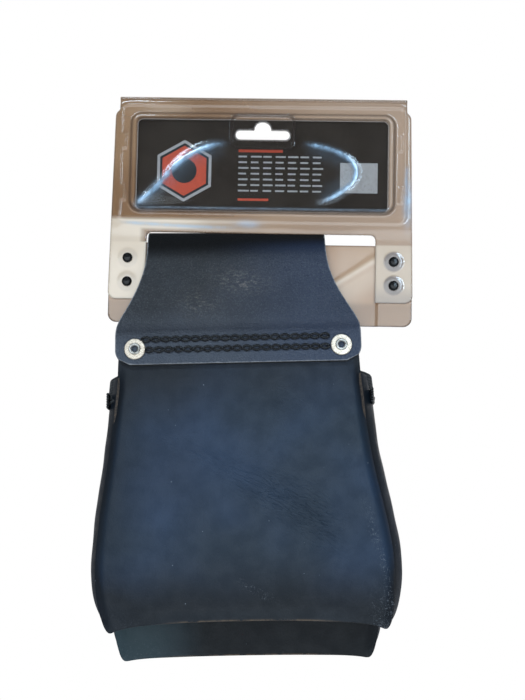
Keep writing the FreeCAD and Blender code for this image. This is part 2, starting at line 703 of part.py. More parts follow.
def make_hanger_strap():
    """Strip through the belt loop, studded behind both arms and stepped back between them."""
    inner = WINDOW_HALF
    outer = WINDOW_HALF + STRAP_JOGGLE_WIDE
    front = [(-STRAP_HALF, 0), (-outer, 0), (-inner, STRAP_JOGGLE), (inner, STRAP_JOGGLE), (outer, 0),
             (STRAP_HALF, 0)]
    rear = [(x, y + SHEET_THICK) for x, y in reversed(front)]
    path = front + rear + front[:1]
    strip = Part.Face(Part.makePolygon([V(x, y, STRAP_END_Z) for x, y in path]))
    strip = strip.extrude(V(0, 0, STRAP_TOP_Z - STRAP_END_Z))
    ends = slab(rounded_rect(STRAP_HALF, STRAP_END_Z, STRAP_TOP_Z, HANGER_CORNER_R),
                -SHEET_THICK, STRAP_JOGGLE + 2 * SHEET_THICK)
    return strip.common(ends).cut(stud_holes())


def make_print_card():
    """Card that lies in the clamshell and passes under the slot's well, with a slot of its own."""
    rear = -SHEET_THICK
    card = slab(rounded_rect(CARD_HALF, CARD_LOW_Z, CARD_HIGH_Z, CARD_CORNER_R), rear - CARD_THICK, rear)
    return card.cut(euro_slot(CARD_SLOT_CLEAR))


def make_stud():
    """Press stud: domed head on the boss, plain shank through cover, strap and back."""
    grip = BOSS_RISE - COVER_FRONT_Y + SHEET_THICK
    shank = STUD_SHANK_RADIUS
    end = grip + STUD_TAIL
    return turned(dome(STUD_HEAD_RADIUS, STUD_HEAD_HIGH, 0.0, -1)[::-1]
                  + [(shank, 0), (shank, end - STUD_EASE), (shank - STUD_EASE, end), (0, end)])


# ---------------------------------------------------------------- assembly
def main():
    """Write every sub-part."""
    os.makedirs("parts", exist_ok=True)
    panel_y = PANEL_FRONT_Y
    front_y = panel_y + PANEL_THICK

    save("belt_loop", make_belt_loop())

    belt_holes = [drill(POST_RADIUS + HOLE_CLEAR, side * RIVET_X, RIVET_Z, -LOOP_THICK, LOOP_THICK)
                  for side in (-1, 1)]
    save("rear_panel", make_back_panel(MAIN_OUTLINE, PANEL_REAR_Y).cut(belt_holes))
    for name, side in (("left", -1), ("right", 1)):
        save("belt_rivet_" + name, placed(make_belt_post(), side * RIVET_X, 0, RIVET_Z))
        save("belt_washer_" + name, placed(make_belt_washer(), side * RIVET_X, 0, RIVET_Z))
        save("seam_tack_" + name, make_tack(side))

    tool_places = tool_rivet_places()
    bag_places = [(side * BAG_RIVET_X, FRONT_TOP_Z - BAG_RIVET_DROP) for side in (-1, 1)]
    wall = [fan(hole, MAIN_DEPTH, panel_y)
            for hole in rivet_holes(tool_places + bag_places, panel_y - 2 * SHELL_THICK, panel_y + PAST)]
    shell = make_shell(MAIN_OUTLINE, MAIN_DEPTH, MAIN_FRONT_ROUND, MAIN_MOUTH_Z, MAIN_MOUTH_FALL, panel_y)
    save("main_bag_shell", shell.cut(wall))
    save("main_mouth_band",
         make_band(MAIN_OUTLINE, MAIN_DEPTH, MAIN_FRONT_ROUND, MAIN_MOUTH_Z, MAIN_MOUTH_FALL, panel_y))

    strip = make_tool_strip().cut(rivet_holes(tool_places, panel_y - PAST, panel_y + 2 * STRIP_THICK))
    save("tool_loop_strip", fan(strip, MAIN_DEPTH, panel_y))
    rear_y = panel_y - SHELL_THICK
    save("tool_strip_rivets",
         fan(rivet_group(tool_places, SHELL_THICK + STRIP_THICK, rear_y), MAIN_DEPTH, panel_y))

    bag_holes = rivet_holes(bag_places, panel_y - PAST, front_y + PAST)
    front_back = make_back_panel(FRONT_OUTLINE, panel_y).cut(bag_holes)
    save("front_bag_back", fan(front_back, MAIN_DEPTH, panel_y))
    save("front_bag_rivets",
         fan(rivet_group(bag_places, SHELL_THICK + PANEL_THICK, rear_y), MAIN_DEPTH, panel_y))

    shell = make_shell(FRONT_OUTLINE, FRONT_DEPTH, FRONT_FRONT_ROUND, FRONT_MOUTH_Z, FRONT_MOUTH_FALL,
                       front_y)
    save("front_bag_shell", fan(shell, MAIN_DEPTH, panel_y))
    band = make_band(FRONT_OUTLINE, FRONT_DEPTH, FRONT_FRONT_ROUND, FRONT_MOUTH_Z, FRONT_MOUTH_FALL, front_y)
    save("front_mouth_band", fan(band, MAIN_DEPTH, panel_y))
    save("patch_pocket", fan(fan(make_pocket(), FRONT_DEPTH, front_y), MAIN_DEPTH, panel_y))

    save("hanger_shell", hang(make_hanger_shell()))
    save("hanger_strap", hang(make_hanger_strap()))
    save("print_card", hang(make_print_card()))
    for name, (x, z) in stud_places().items():
        save("stud_" + name, hang(placed(make_stud(), x, COVER_FRONT_Y - BOSS_RISE, z)))


main()
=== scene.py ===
import math

import bmesh
import bpy
import numpy as np
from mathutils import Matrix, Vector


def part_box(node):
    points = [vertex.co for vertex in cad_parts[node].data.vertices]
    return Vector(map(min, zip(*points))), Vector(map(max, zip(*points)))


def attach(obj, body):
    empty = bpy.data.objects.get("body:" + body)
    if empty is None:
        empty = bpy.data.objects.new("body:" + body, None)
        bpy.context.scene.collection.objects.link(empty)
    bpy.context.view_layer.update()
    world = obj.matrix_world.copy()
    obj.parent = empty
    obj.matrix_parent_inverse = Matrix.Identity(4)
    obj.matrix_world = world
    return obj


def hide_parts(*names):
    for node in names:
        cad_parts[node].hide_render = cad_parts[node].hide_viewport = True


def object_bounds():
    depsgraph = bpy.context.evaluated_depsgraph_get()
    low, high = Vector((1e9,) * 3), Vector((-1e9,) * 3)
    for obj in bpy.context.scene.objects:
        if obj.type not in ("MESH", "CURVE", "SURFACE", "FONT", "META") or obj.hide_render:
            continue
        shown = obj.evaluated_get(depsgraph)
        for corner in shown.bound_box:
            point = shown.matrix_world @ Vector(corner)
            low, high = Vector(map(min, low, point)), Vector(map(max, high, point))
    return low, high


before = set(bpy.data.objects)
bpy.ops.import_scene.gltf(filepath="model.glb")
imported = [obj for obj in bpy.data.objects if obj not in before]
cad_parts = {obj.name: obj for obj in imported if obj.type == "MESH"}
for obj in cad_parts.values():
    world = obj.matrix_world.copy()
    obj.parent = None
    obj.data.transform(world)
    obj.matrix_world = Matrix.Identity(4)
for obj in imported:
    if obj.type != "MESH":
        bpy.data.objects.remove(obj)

# The looks of an electrician's leather tool pouch that hangs in its clamshell hanger: soft bags on
# a rear panel, a folded belt loop of harness leather with chain-like stitching, woven binding,
# rivets, and a clear hanger with a painted tan cast, with its card, strap and press studs. Some
# light, shade and reflection is painted into the finishes. Lengths are millimetres here and become
# metres where a mesh is made.

CAD_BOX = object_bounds()

bl_info = {
    "name": "Electrician's tool pouch",
    "version": (1, 0, 0),
    "blender": (4, 5, 0),
    "location": "View3D > Sidebar > Tool pouch",
    "description": "Builds a leather tool pouch and its hanger on the packed frame",
    "category": "Object",
}

MM = 0.001


def node_box(node):
    """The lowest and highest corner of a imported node, in millimetres."""
    low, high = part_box(node)
    return np.array(low) / MM, np.array(high) / MM


def srgb(red, green, blue):
    """Linear colour from display values of 0 to 255."""
    share = np.array([red, green, blue]) / 255.0
    linear = np.where(share <= 0.04045, share / 12.92, ((share + 0.055) / 1.055) ** 2.4)
    return (*linear.tolist(), 1.0)


# ---------------------------------------------------------------- numbers as arrays
def smooth(value, low, high):
    """0 below low and 1 above high, with the cubic 3t^2 - 2t^3 between them. low may be the
    larger."""
    t = np.clip((value - low) / (high - low), 0.0, 1.0)
    return t * t * (3.0 - 2.0 * t)


def swell(a, b, size, seed, count=6):
    """Soft unevenness from -1 to 1: the mean of count sines over (a, b), each about size long, in
    seeded directions."""
    rng = np.random.default_rng(seed)
    total = np.zeros(np.broadcast(a, b).shape)
    for _ in range(count):
        angle, phase = rng.uniform(0.0, 2.0 * np.pi, 2)
        length = size * rng.uniform(0.65, 1.5)
        total += np.sin(2.0 * np.pi * (a * np.cos(angle) + b * np.sin(angle)) / length + phase)
    return total / count


def dent(distance, width):
    """A soft dent, 1 at no distance, by the bell curve exp(-(d / width)^2)."""
    return np.exp(-((distance / width) ** 2))


def through(knots, values, at, slopes=(0.0, 0.0)):
    """A smooth curve through (knot, value) pairs: the cubic spline with even curvature at every
    knot and the given slopes at its ends. knots rise; beyond them the end values hold."""
    knots, values = np.asarray(knots, float), np.asarray(values, float)
    width, rise = np.diff(knots), np.diff(values)
    size = len(knots)
    system, right = np.eye(size), np.zeros(size)
    right[0], right[-1] = slopes
    i = np.arange(1, size - 1)
    system[i, i - 1], system[i, i + 1] = 1.0 / width[:-1], 1.0 / width[1:]
    system[i, i] = 2.0 / width[:-1] + 2.0 / width[1:]
    right[i] = 3.0 * (rise[:-1] / width[:-1] ** 2 + rise[1:] / width[1:] ** 2)
    slope = np.linalg.solve(system, right)
    at = np.clip(at, knots[0], knots[-1])
    i = np.clip(np.searchsorted(knots, at) - 1, 0, size - 2)
    t = (at - knots[i]) / width[i]
    return ((2 * t**3 - 3 * t**2 + 1) * values[i] + (t**3 - 2 * t**2 + t) * width[i] * slope[i]
            + (3 * t**2 - 2 * t**3) * values[i + 1] + (t**3 - t**2) * width[i] * slope[i + 1])


def bezier(poles, count):
    """Points of a cubic Bezier curve: the four poles weighted by (1-t)^3, 3t(1-t)^2, 3t^2(1-t) and
    t^3."""
    t = np.linspace(0.0, 1.0, count)[:, None]
    a, b, c, d = (np.asarray(pole, float) for pole in poles)
    return (1 - t) ** 3 * a + 3 * t * (1 - t) ** 2 * b + 3 * t**2 * (1 - t) * c + t**3 * d


def unit(vectors):
    """Vectors of length 1."""
    return vectors / np.linalg.norm(vectors, axis=-1, keepdims=True)


def travelled(points):
    """Length of a line up to each of its points: the running sum of the steps between them."""
    return np.concatenate([[0.0], np.cumsum(np.linalg.norm(np.diff(points, axis=0), axis=1))])


def even(points, count):
    """The same line, cut again into count points at even arc length."""
    along = travelled(points)
    at = np.linspace(0.0, 1.0, count) * along[-1]
    return np.stack([np.interp(at, along, column) for column in points.T], axis=1)


def soften(points, reach):
    """Round a line's corners: each point becomes half itself and a quarter of each neighbour, reach
    times over. The two end points stay."""
    points = points.copy()
    for _ in range(reach):
        points[1:-1] = (points[:-2] + 2.0 * points[1:-1] + points[2:]) / 4.0
    return points


def coons(top, bottom, left, right):
    """Grid between four edge lines: the two ruled surfaces added, less the one through the four
    corners. top and bottom run left to right, left and right run top to bottom."""
    u = np.linspace(0.0, 1.0, len(top))[None, :, None]
    v = np.linspace(0.0, 1.0, len(left))[:, None, None]
    across = (1 - v) * top[None] + v * bottom[None]
    down = (1 - u) * left[:, None] + u * right[:, None]
    corner = ((1 - u) * (1 - v) * top[0] + u * (1 - v) * top[-1]
              + (1 - u) * v * bottom[0] + u * v * bottom[-1])
    return across + down - corner


# ---------------------------------------------------------------- meshes
def quads(rows, cols):
    """Corner numbers of a grid's quads, row by row: a point, the one in the next row, and their two
    neighbours in the next column."""
    first = np.arange(rows - 1)[:, None] * cols + np.arange(cols - 1)[None, :]
    return np.stack([first, first + cols, first + cols + 1, first + 1], axis=-1).reshape(-1, 4)


def new_mesh(name, points, faces, finishes, shades=None, uv=None, weld=0.0, smooth_faces=True):
    """An object at the origin from points (n, 3) in millimetres and faces (m, 3 or 4).

    shades holds named values for each point and uv is a (n, 2) map in millimetres. weld joins
    points that lie closer than it, in millimetres, and turns every face outwards."""
    mesh = bpy.data.meshes.new(name)
    mesh.from_pydata((points * MM).tolist(), [], faces.tolist())
    for finish in finishes:
        mesh.materials.append(finish)
    if uv is not None:
        corners = np.empty(len(mesh.loops), dtype=np.int32)
        mesh.loops.foreach_get("vertex_index", corners)
        layer = mesh.uv_layers.new(name="UVMap")
        layer.data.foreach_set("uv", (uv[corners] * MM).astype(np.float32).ravel())
    for key, values in (shades or {}).items():
        shade = mesh.attributes.new(key, "FLOAT", "POINT")
        shade.data.foreach_set("value", values.astype(np.float32).ravel())
    if weld:
        work = bmesh.new()
        work.from_mesh(mesh)
        bmesh.ops.remove_doubles(work, verts=work.verts, dist=weld * MM)
        bmesh.ops.recalc_face_normals(work, faces=work.faces)
        work.to_mesh(mesh)
        work.free()
    mesh.polygons.foreach_set("use_smooth", np.full(len(mesh.polygons), smooth_faces))
    mesh.update()
    obj = bpy.data.objects.new(name, mesh)
    bpy.context.scene.collection.objects.link(obj)
    return obj


def grid_mesh(name, grid, finishes, shades=None, uv=None, flip=False):
    """An object from one grid (rows, cols, 3) of points; flip turns its faces the other way."""
    points, faces = joined([(grid, flip)])
    flat_uv = None if uv is None else uv.reshape(-1, 2)
    return new_mesh(name, points, faces, finishes, shades, flat_uv)


def joined(grids):
    """Several grids as one set of points and faces. Each is (points, flip)."""
    points, faces, start = [], [], 0
    for grid, flip in grids:
        face = quads(*grid.shape[:2])
        faces.append((face[:, ::-1] if flip else face) + start)
        points.append(grid.reshape(-1, 3))
        start += grid.shape[0] * grid.shape[1]
    return np.concatenate(points), np.concatenate(faces)


def thicken(obj, thick, offset=-1.0, ease=0.35, cut_finish=1):
    """Give a sheet its thickness, with the cut edge in the finish that is cut_finish further on,
    eased by a small bevel."""
    wall = obj.modifiers.new("thickness", "SOLIDIFY")
    wall.thickness = thick * MM
    wall.offset = offset
    wall.use_even_offset = True
    wall.use_quality_normals = True
    wall.material_offset_rim = cut_finish
    if ease:
        edge = obj.modifiers.new("eased_edge", "BEVEL")
        edge.width = ease * MM
        edge.segments = 2
        edge.limit_method = "ANGLE"
        edge.angle_limit = math.radians(55.0)
        edge.use_clamp_overlap = True
    return obj


def tube(path, radius, sides):
    """Grid of rings round a path (n, 3): each point plus radius times (cos a, sin a) in the plane
    that stands across the path. radius may be one number or one for each point."""
    ahead = np.roll(path, -1, axis=0) - np.roll(path, 1, axis=0)
    ahead[0], ahead[-1] = path[1] - path[0], path[-1] - path[-2]
    ahead = unit(ahead)
    guide = np.where(np.abs(ahead[:, 1:2]) < 0.9, [[0.0, 1.0, 0.0]], [[0.0, 0.0, 1.0]])
    side = unit(np.cross(ahead, guide))
    lift = np.cross(side, ahead)
    a = np.linspace(0.0, 2.0 * np.pi, sides, endpoint=False)
    size = np.broadcast_to(radius, len(path))[:, None, None]
    around = np.cos(a)[None, :, None] * side[:, None] + np.sin(a)[None, :, None] * lift[:, None]
    return path[:, None] + size * around


def tube_uv(path, sides, radius):
    """Map of a tube: its length one way and its girth the other, in millimetres."""
    girth = np.linspace(0.0, 2.0 * np.pi * radius, sides)
    return np.stack(np.broadcast_arrays(travelled(path)[:, None], girth[None, :]), axis=-1)


def belongs(obj, body, slot, *nodes):
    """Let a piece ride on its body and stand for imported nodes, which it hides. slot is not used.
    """
    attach(obj, body)
    if nodes:
        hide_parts(*nodes)
    return obj


# ---------------------------------------------------------------- finishes
class Finish:
    """A material whose pattern nodes are added by short calls. Sizes of patterns are in
    millimetres."""

    def __init__(self, name, coordinates="Object", **sockets):
        self.material = bpy.data.materials.new(name)
        self.material.use_nodes = True
        self.tree = self.material.node_tree
        self.tree.nodes.clear()
        self.out = self.tree.nodes.new("ShaderNodeOutputMaterial")
        self.shader = self.tree.nodes.new("ShaderNodeBsdfPrincipled")
        self.join(self.shader.outputs["BSDF"], self.out.inputs["Surface"])
        place = self.tree.nodes.new("ShaderNodeTexCoord")
        self.place = place.outputs[coordinates]
        for key, value in sockets.items():
            self.shader.inputs[key.replace("_", " ")].default_value = value

    def join(self, source, target):
        """Connect two sockets."""
        self.tree.links.new(source, target)

    def add(self, kind, values=None, **settings):
        """A node with its settings and its input values, which are numbers or sockets."""
        node = self.tree.nodes.new(kind)
        for key, value in settings.items():
            setattr(node, key, value)
        for key, value in (values or {}).items():
            if isinstance(value, bpy.types.NodeSocket):
                self.join(value, node.inputs[key])
            else:
                node.inputs[key].default_value = value
        return node

    def moved(self, scale=(1.0, 1.0, 1.0), turn=(0.0, 0.0, 0.0), at=None):
        """The place, stretched and then turned (degrees)."""
        node = self.add("ShaderNodeMapping", {
            "Vector": at or self.place, "Scale": scale,
            "Rotation": [math.radians(a) for a in turn]})
        return node.outputs["Vector"]

    def noise(self, size, detail=3.0, rough=0.55, bend=0.0, at=None):
        """Cloudy values about size millimetres across."""
        node = self.add("ShaderNodeTexNoise", {
            "Vector": at or self.place, "Scale": 1.0 / (size * MM), "Detail": detail,
            "Roughness": rough, "Distortion": bend})
        return node.outputs["Fac"]

    def cells(self, size, feature="F1"):
        """Distances in a pattern of cells about size millimetres across."""
        node = self.add("ShaderNodeTexVoronoi", {
            "Vector": self.place, "Scale": 1.0 / (size * MM)}, feature=feature)
        return node.outputs["Distance"]

    def span(self, value, low, high, to_low=0.0, to_high=1.0):
        """Value carried from low..high to to_low..to_high, smoothly and no further."""
        node = self.add("ShaderNodeMapRange", {
            "Value": value, "From Min": low, "From Max": high, "To Min": to_low, "To Max": to_high},
            interpolation_type="SMOOTHSTEP")
        return node.outputs["Result"]

    def sum(self, operation, first, second):
        """Two values by a named operation."""
        node = self.add("ShaderNodeMath", {0: first, 1: second}, operation=operation)
        return node.outputs["Value"]

    def blend(self, share, first, second):
        """Two colours, the second by a share. The node numbers its colour sockets, since they share
        names."""
        node = self.add("ShaderNodeMix", {"Factor": share, 6: first, 7: second}, data_type="RGBA")
        return node.outputs[2]

    def shade(self, name):
        """A value that the mesh carries."""
        return self.add("ShaderNodeAttribute", attribute_name=name).outputs["Fac"]

    def bump(self, height, depth, strength=1.0, after=None):
        """Relief depth millimetres deep."""
        values = {"Height": height, "Distance": depth * MM, "Strength": strength}
        if after is not None:
            values["Normal"] = after
        return self.add("ShaderNodeBump", values).outputs["Normal"]

    def wear(self, **links):
        """Connect sockets of the shader by name."""
        for key, source in links.items():
            self.join(source, self.shader.inputs[key.replace("_", " ")])
        return self.material


# Tones that the finishes blend towards: wear, dust, painted shade, painted light and painted
# reflection of the two leathers, then of the clear sheet, most of whose tones are painted shade,
# highlight, reflection and glint.
# Mottle of the harness leather, then painted dark shade for the top of its fold.
HARNESS_MOTTLE, FOLD_SHADE = srgb(13, 14, 17), srgb(2, 2, 3)
# Painted pale light on the low flap, and a painted blue sky reflection on its right.
FOOT_PAINTED_LIGHT, FLAP_SKY_REFLECTION = srgb(66, 73, 85), srgb(36, 52, 80)
GRAIN_SPECK, RUBBED_EDGE, SCUFF_TAN = srgb(104, 106, 108), srgb(132, 132, 134), srgb(128, 120, 110)
# Mottle of the bag leather, painted shade near seams, hems and under the flap, and painted light on
# the front bag's left.
BAG_MOTTLE, SEAM_SHADE, SIDE_PAINTED_LIGHT = srgb(24, 32, 44), srgb(9, 14, 19), srgb(52, 68, 70)
PALE_SPECK, DUST, RAW_HIDE = srgb(150, 160, 172), srgb(136, 142, 150), srgb(118, 98, 78)
# A painted greyer reflection, a painted highlight, and grey round the studs.
SHEET_GREY_REFLECTION, SHEET_HIGHLIGHT, STUD_SMOKE = srgb(214, 190, 172), srgb(241, 219, 194), srgb(112, 110, 118)
# Near black for the sheet over the card, painted shade at steep walls and cut edges, and painted
# glints.
CARD_BEHIND, SHEET_EDGE_SHADE, SKY_GLINT = srgb(26, 25, 26), srgb(84, 72, 66), srgb(188, 222, 250)


def harness_leather(colours):
    """Firm black leather: pebble grain, grey bloom, pale rubbed edges, short scuffs, painted dark
    shade where it folds, painted pale light low on the flap and a painted blue sky reflection on
    its right."""
    f = Finish("harness_leather", Roughness=0.36)
    f.shader.inputs["Specular IOR Level"].default_value = 0.31
    bloom = f.span(f.noise(34.0, 3.0), 0.36, 0.66)
    mottle = f.span(f.noise(1.1, 5.0, 0.75), 0.35, 0.68)
    colour = f.blend(bloom, tuple(colours.harness), tuple(colours.harness_bloom))
    colour = f.blend(f.sum("MULTIPLY", mottle, 0.6), colour, HARNESS_MOTTLE)
    # Painted dark shade over the top of the fold.
    colour = f.blend(f.shade("fold"), colour, FOLD_SHADE)
    # Painted pale light on the low part of the flap.
    colour = f.blend(f.sum("MULTIPLY", f.shade("foot"), 0.75), colour, FOOT_PAINTED_LIGHT)
    # Painted blue sky reflection on the right of the flap.
    colour = f.blend(f.sum("MULTIPLY", f.shade("blue"), 0.45), colour, FLAP_SKY_REFLECTION)
    speck = f.span(f.noise(0.7, 2.0, 0.6), 0.5, 0.7, 0.0, 0.2)
    colour = f.blend(f.sum("MULTIPLY", speck, f.shade("grain")), colour, GRAIN_SPECK)
    frayed = f.sum("MULTIPLY", f.noise(1.6, 4.0, 0.7), 1.4)
    rub = f.span(f.sum("ADD", f.shade("edge"), frayed), 1.5, 0.7)
    colour = f.blend(f.sum("MULTIPLY", rub, 0.85), colour, RUBBED_EDGE)
    scratch = f.noise(1.6, 7.0, 0.85, at=f.moved(scale=(0.6, 1.0, 1.5)))
    scuff = f.sum("MULTIPLY", f.span(scratch, 0.48, 0.62), f.shade("scuff"))
    colour = f.blend(scuff, colour, SCUFF_TAN)
    grain = f.cells(1.0, "SMOOTH_F1")
    fine = f.noise(0.6, 4.0, 0.6)
    relief = f.bump(f.sum("ADD", grain, f.sum("MULTIPLY", fine, 0.8)), 0.42, 0.9)
    relief = f.bump(f.noise(9.0, 2.0), 0.6, 0.4, relief)
    gloss = f.span(f.noise(5.0, 4.0, 0.6), 0.3, 0.7, 0.32, 0.46)
    gloss = f.sum("MAXIMUM", gloss, f.sum("MULTIPLY", f.shade("fold"), 0.95))
    return f.wear(Base_Color=colour, Roughness=gloss, Normal=relief)


def bag_leather(colours):
    """Soft blue-black leather: fine pores, cloudy tone, a belt of slanting creases, dust and rubbed
    corners, painted shade near seams, hems and under the flap, and painted light on the front bag's
    left."""
    f = Finish("bag_leather", Roughness=0.5)
    f.shader.inputs["Specular IOR Level"].default_value = 0.27
    cloud = f.span(f.noise(62.0, 2.0, 0.4), 0.3, 0.7)
    mottle = f.span(f.noise(9.0, 4.0, 0.6), 0.3, 0.7)
    colour = f.blend(cloud, tuple(colours.bag), tuple(colours.bag_cloud))
    colour = f.blend(f.sum("MULTIPLY", mottle, 0.2), colour, BAG_MOTTLE)
    # Painted shade near seams, hems, edges and under the flap.
    colour = f.blend(f.sum("MULTIPLY", f.shade("deep"), 0.9), colour, SEAM_SHADE)
    # Painted light where the mesh marks it, on the front bag's left.
    colour = f.blend(f.sum("MULTIPLY", f.shade("bloom"), 0.8), colour, SIDE_PAINTED_LIGHT)
    specks = f.sum("MULTIPLY", f.span(f.cells(7.0), 0.05, 0.025), 0.5)
    rare = f.span(f.noise(26.0, 2.0), 0.5, 0.6)
    colour = f.blend(f.sum("MULTIPLY", specks, rare), colour, PALE_SPECK)
    dust = f.sum("MULTIPLY", f.span(f.noise(1.3, 8.0, 0.9), 0.54, 0.63), f.shade("scuff"))
    colour = f.blend(f.sum("MULTIPLY", dust, 0.85), colour, DUST)
    bare = f.sum("MULTIPLY", f.shade("raw"), f.span(f.noise(7.0, 4.0, 0.7), 0.36, 0.56))
    colour = f.blend(f.sum("MULTIPLY", bare, 0.75), colour, RAW_HIDE)
    pores = f.noise(0.6, 4.0, 0.65)
    skin = f.cells(1.5, "SMOOTH_F1")
    relief = f.bump(f.sum("ADD", pores, f.sum("MULTIPLY", skin, 0.6)), 0.16, 0.6)
    along = f.moved(scale=(0.2, 1.0, 1.0), at=f.moved(turn=(0.0, -28.0, 0.0)))
    for size, depth, bend in ((2.6, 0.2, 0.6), (1.4, 0.09, 0.4)):
        streak = f.sum("SUBTRACT", f.noise(size, 2.0, 0.5, bend=bend, at=along), 0.5)
        furrow = f.span(f.sum("ABSOLUTE", streak, 0.0), 0.0, 0.07)
        relief = f.bump(f.sum("MULTIPLY", furrow, f.shade("crease")), depth, 0.9, relief)
    relief = f.bump(f.noise(18.0, 2.0), 1.1, 0.45, relief)
    gloss = f.span(f.noise(9.0, 4.0, 0.6), 0.3, 0.7, 0.44, 0.58)
    return f.wear(Base_Color=colour, Roughness=gloss, Normal=relief)


def cut_edge(name, tone, dark):
    """The fibrous cut edge of a leather: tone broken by dark streaks."""
    f = Finish(name, Roughness=0.85)
    streak = f.noise(0.9, 5.0, 0.75)
    colour = f.blend(f.span(streak, 0.35, 0.65), tone, dark)
    return f.wear(Base_Color=colour, Normal=f.bump(streak, 0.25, 0.7))


def twisted_thread():
    """Waxed black thread, laid up from three strands: slanting ridges along its length."""
    f = Finish("twisted_thread", "UV", Roughness=0.28)
    f.shader.inputs["Specular IOR Level"].default_value = 0.4
    ridge = f.add("ShaderNodeTexWave", {
        "Vector": f.moved(turn=(0.0, 0.0, 34.0)), "Scale": 280.0, "Distortion": 0.6, "Detail": 2.0},
        bands_direction="X").outputs["Fac"]
    colour = f.blend(f.span(ridge, 0.2, 0.9), srgb(3, 3, 4), srgb(16, 17, 20))
    return f.wear(Base_Color=colour, Normal=f.bump(ridge, 0.22, 0.8))


def woven_binding():
    """Black woven tape: warp and weft as two crossed waves in the tape's own map."""
    f = Finish("woven_binding", "UV", Roughness=0.9)
    f.shader.inputs["Sheen Weight"].default_value = 0.1
    warp = f.add("ShaderNodeTexWave", {"Vector": f.place, "Scale": 260.0, "Distortion": 0.5},
                 bands_direction="X").outputs["Fac"]
    weft = f.add("ShaderNodeTexWave", {"Vector": f.place, "Scale": 200.0, "Distortion": 0.5},
                 bands_direction="Y").outputs["Fac"]
    weave = f.sum("MULTIPLY", warp, weft)
    tone = f.span(f.noise(5.0, 3.0), 0.3, 0.7)
    colour = f.blend(weave, srgb(5, 6, 8), srgb(22, 25, 30))
    colour = f.blend(f.sum("MULTIPLY", tone, 0.3), colour, srgb(14, 17, 22))
    return f.wear(Base_Color=colour, Normal=f.bump(weave, 0.3, 0.9))


def nickel(name, tone, dull):
    """Plated steel: a warm bright metal with faint handling marks."""
    f = Finish(name, Metallic=1.0, Roughness=0.3)
    marks = f.noise(1.4, 6.0, 0.7, at=f.moved(scale=(1.0, 1.0, 4.0)))
    colour = f.blend(f.span(f.noise(3.0, 3.0), 0.35, 0.7), tone, dull)
    gloss = f.span(marks, 0.3, 0.75, 0.22, 0.42)
    return f.wear(Base_Color=colour, Roughness=gloss, Normal=f.bump(marks, 0.05, 0.5))


def stud_plastic():
    """Black moulded plastic with a soft shine."""
    f = Finish("stud_plastic", Roughness=0.2)
    f.shader.inputs["Specular IOR Level"].default_value = 0.3
    skin = f.noise(0.8, 3.0)
    colour = f.blend(f.span(skin, 0.3, 0.7), srgb(3, 3, 4), srgb(9, 9, 10))
    return f.wear(Base_Color=colour, Normal=f.bump(skin, 0.06, 0.5))


def sheet_plastic(name, tone, haze_tone, veil):
    """Thermoformed sheet: glossy, with a painted tan cast outside the card and little more than
    gloss over it. The cast and its haze are painted reflection: they stand in for brown
    surroundings seen through and mirrored in the clear sheet.

    Each of the mesh's values is 1 at its full effect: one marks where the painted cast shows, and
    veil is how much of the view it takes there; wall marks painted shade where the sheet stands
    steep or was cut; pale a painted highlight where two layers lie flat together and along parts of
    the rim; smoke where a stud has drawn them in; side a painted greyer reflection towards one end;
    and sky painted glints along its folds. least is how much of the view clear sheet takes."""
    least = 0.16
    f = Finish(name, Roughness=0.1, IOR=1.7)
    f.shader.inputs["Specular IOR Level"].default_value = 0.55
    tint, wall = f.shade("tint"), f.shade("wall")
    # Painted haze and a greyer right end: reflection of brown surroundings, painted into the
    # colour.
    cloud = f.noise(95.0, 1.0, 0.4, bend=0.4, at=f.moved(scale=(1.0, 1.0, 1.4)))
    haze = f.span(cloud, 0.34, 0.66, 0.0, 0.5)
    haze = f.sum("ADD", haze, f.sum("MULTIPLY", f.shade("side"), 0.5))
    colour = f.blend(haze, tone, haze_tone)
    colour = f.blend(f.sum("MULTIPLY", f.shade("side"), 0.4), colour, SHEET_GREY_REFLECTION)
    # Painted highlight where layers lie together and along parts of the rim.
    colour = f.blend(f.sum("MULTIPLY", f.shade("pale"), 0.95), colour, SHEET_HIGHLIGHT)
    colour = f.blend(f.sum("MULTIPLY", f.shade("smoke"), 0.8), colour, STUD_SMOKE)
    colour = f.blend(tint, CARD_BEHIND, colour)
    # Painted shade where the sheet stands steep or was cut.
    colour = f.blend(f.sum("MULTIPLY", wall, 0.75), colour, SHEET_EDGE_SHADE)
    alpha = f.sum("ADD", f.sum("MULTIPLY", tint, veil - least), least)
    alpha = f.sum("MAXIMUM", alpha, f.sum("MULTIPLY", wall, 0.6))
    alpha = f.sum("MAXIMUM", alpha, f.sum("MULTIPLY", f.shade("pale"), 0.92))
    sky = f.sum("MULTIPLY", f.shade("sky"), f.span(f.noise(6.0, 3.0), 0.3, 0.6, 0.6, 1.0))
    colour = f.blend(sky, colour, SKY_GLINT)
    alpha = f.sum("MAXIMUM", alpha, f.sum("MULTIPLY", sky, 0.78))
    relief = f.bump(f.noise(6.0, 2.0), 0.02, 0.5)
    f.material.surface_render_method = "BLENDED"
    return f.wear(Base_Color=colour, Alpha=alpha, Normal=relief)


def card_stock():
    """The card: near-black print on board, with a faint fibre and a warm unevenness."""
    f = Finish("card_stock", Roughness=0.8)
    f.shader.inputs["Specular IOR Level"].default_value = 0.2
    tone = f.span(f.noise(24.0, 3.0), 0.3, 0.7)
    colour = f.blend(tone, srgb(54, 43, 33), srgb(66, 56, 46))
    return f.wear(Base_Color=colour, Normal=f.bump(f.noise(0.7, 4.0), 0.03, 0.5))


def ink(name, tone):
    """Flat printed ink with a slightly broken density, darkest at 0.72 of its tone."""
    f = Finish(name, Roughness=0.55)
    worn = f.span(f.noise(1.2, 4.0, 0.7), 0.25, 0.6)
    dark = tuple(c * 0.72 for c in tone[:3]) + (1.0,)
    return f.wear(Base_Color=f.blend(worn, dark, tone))


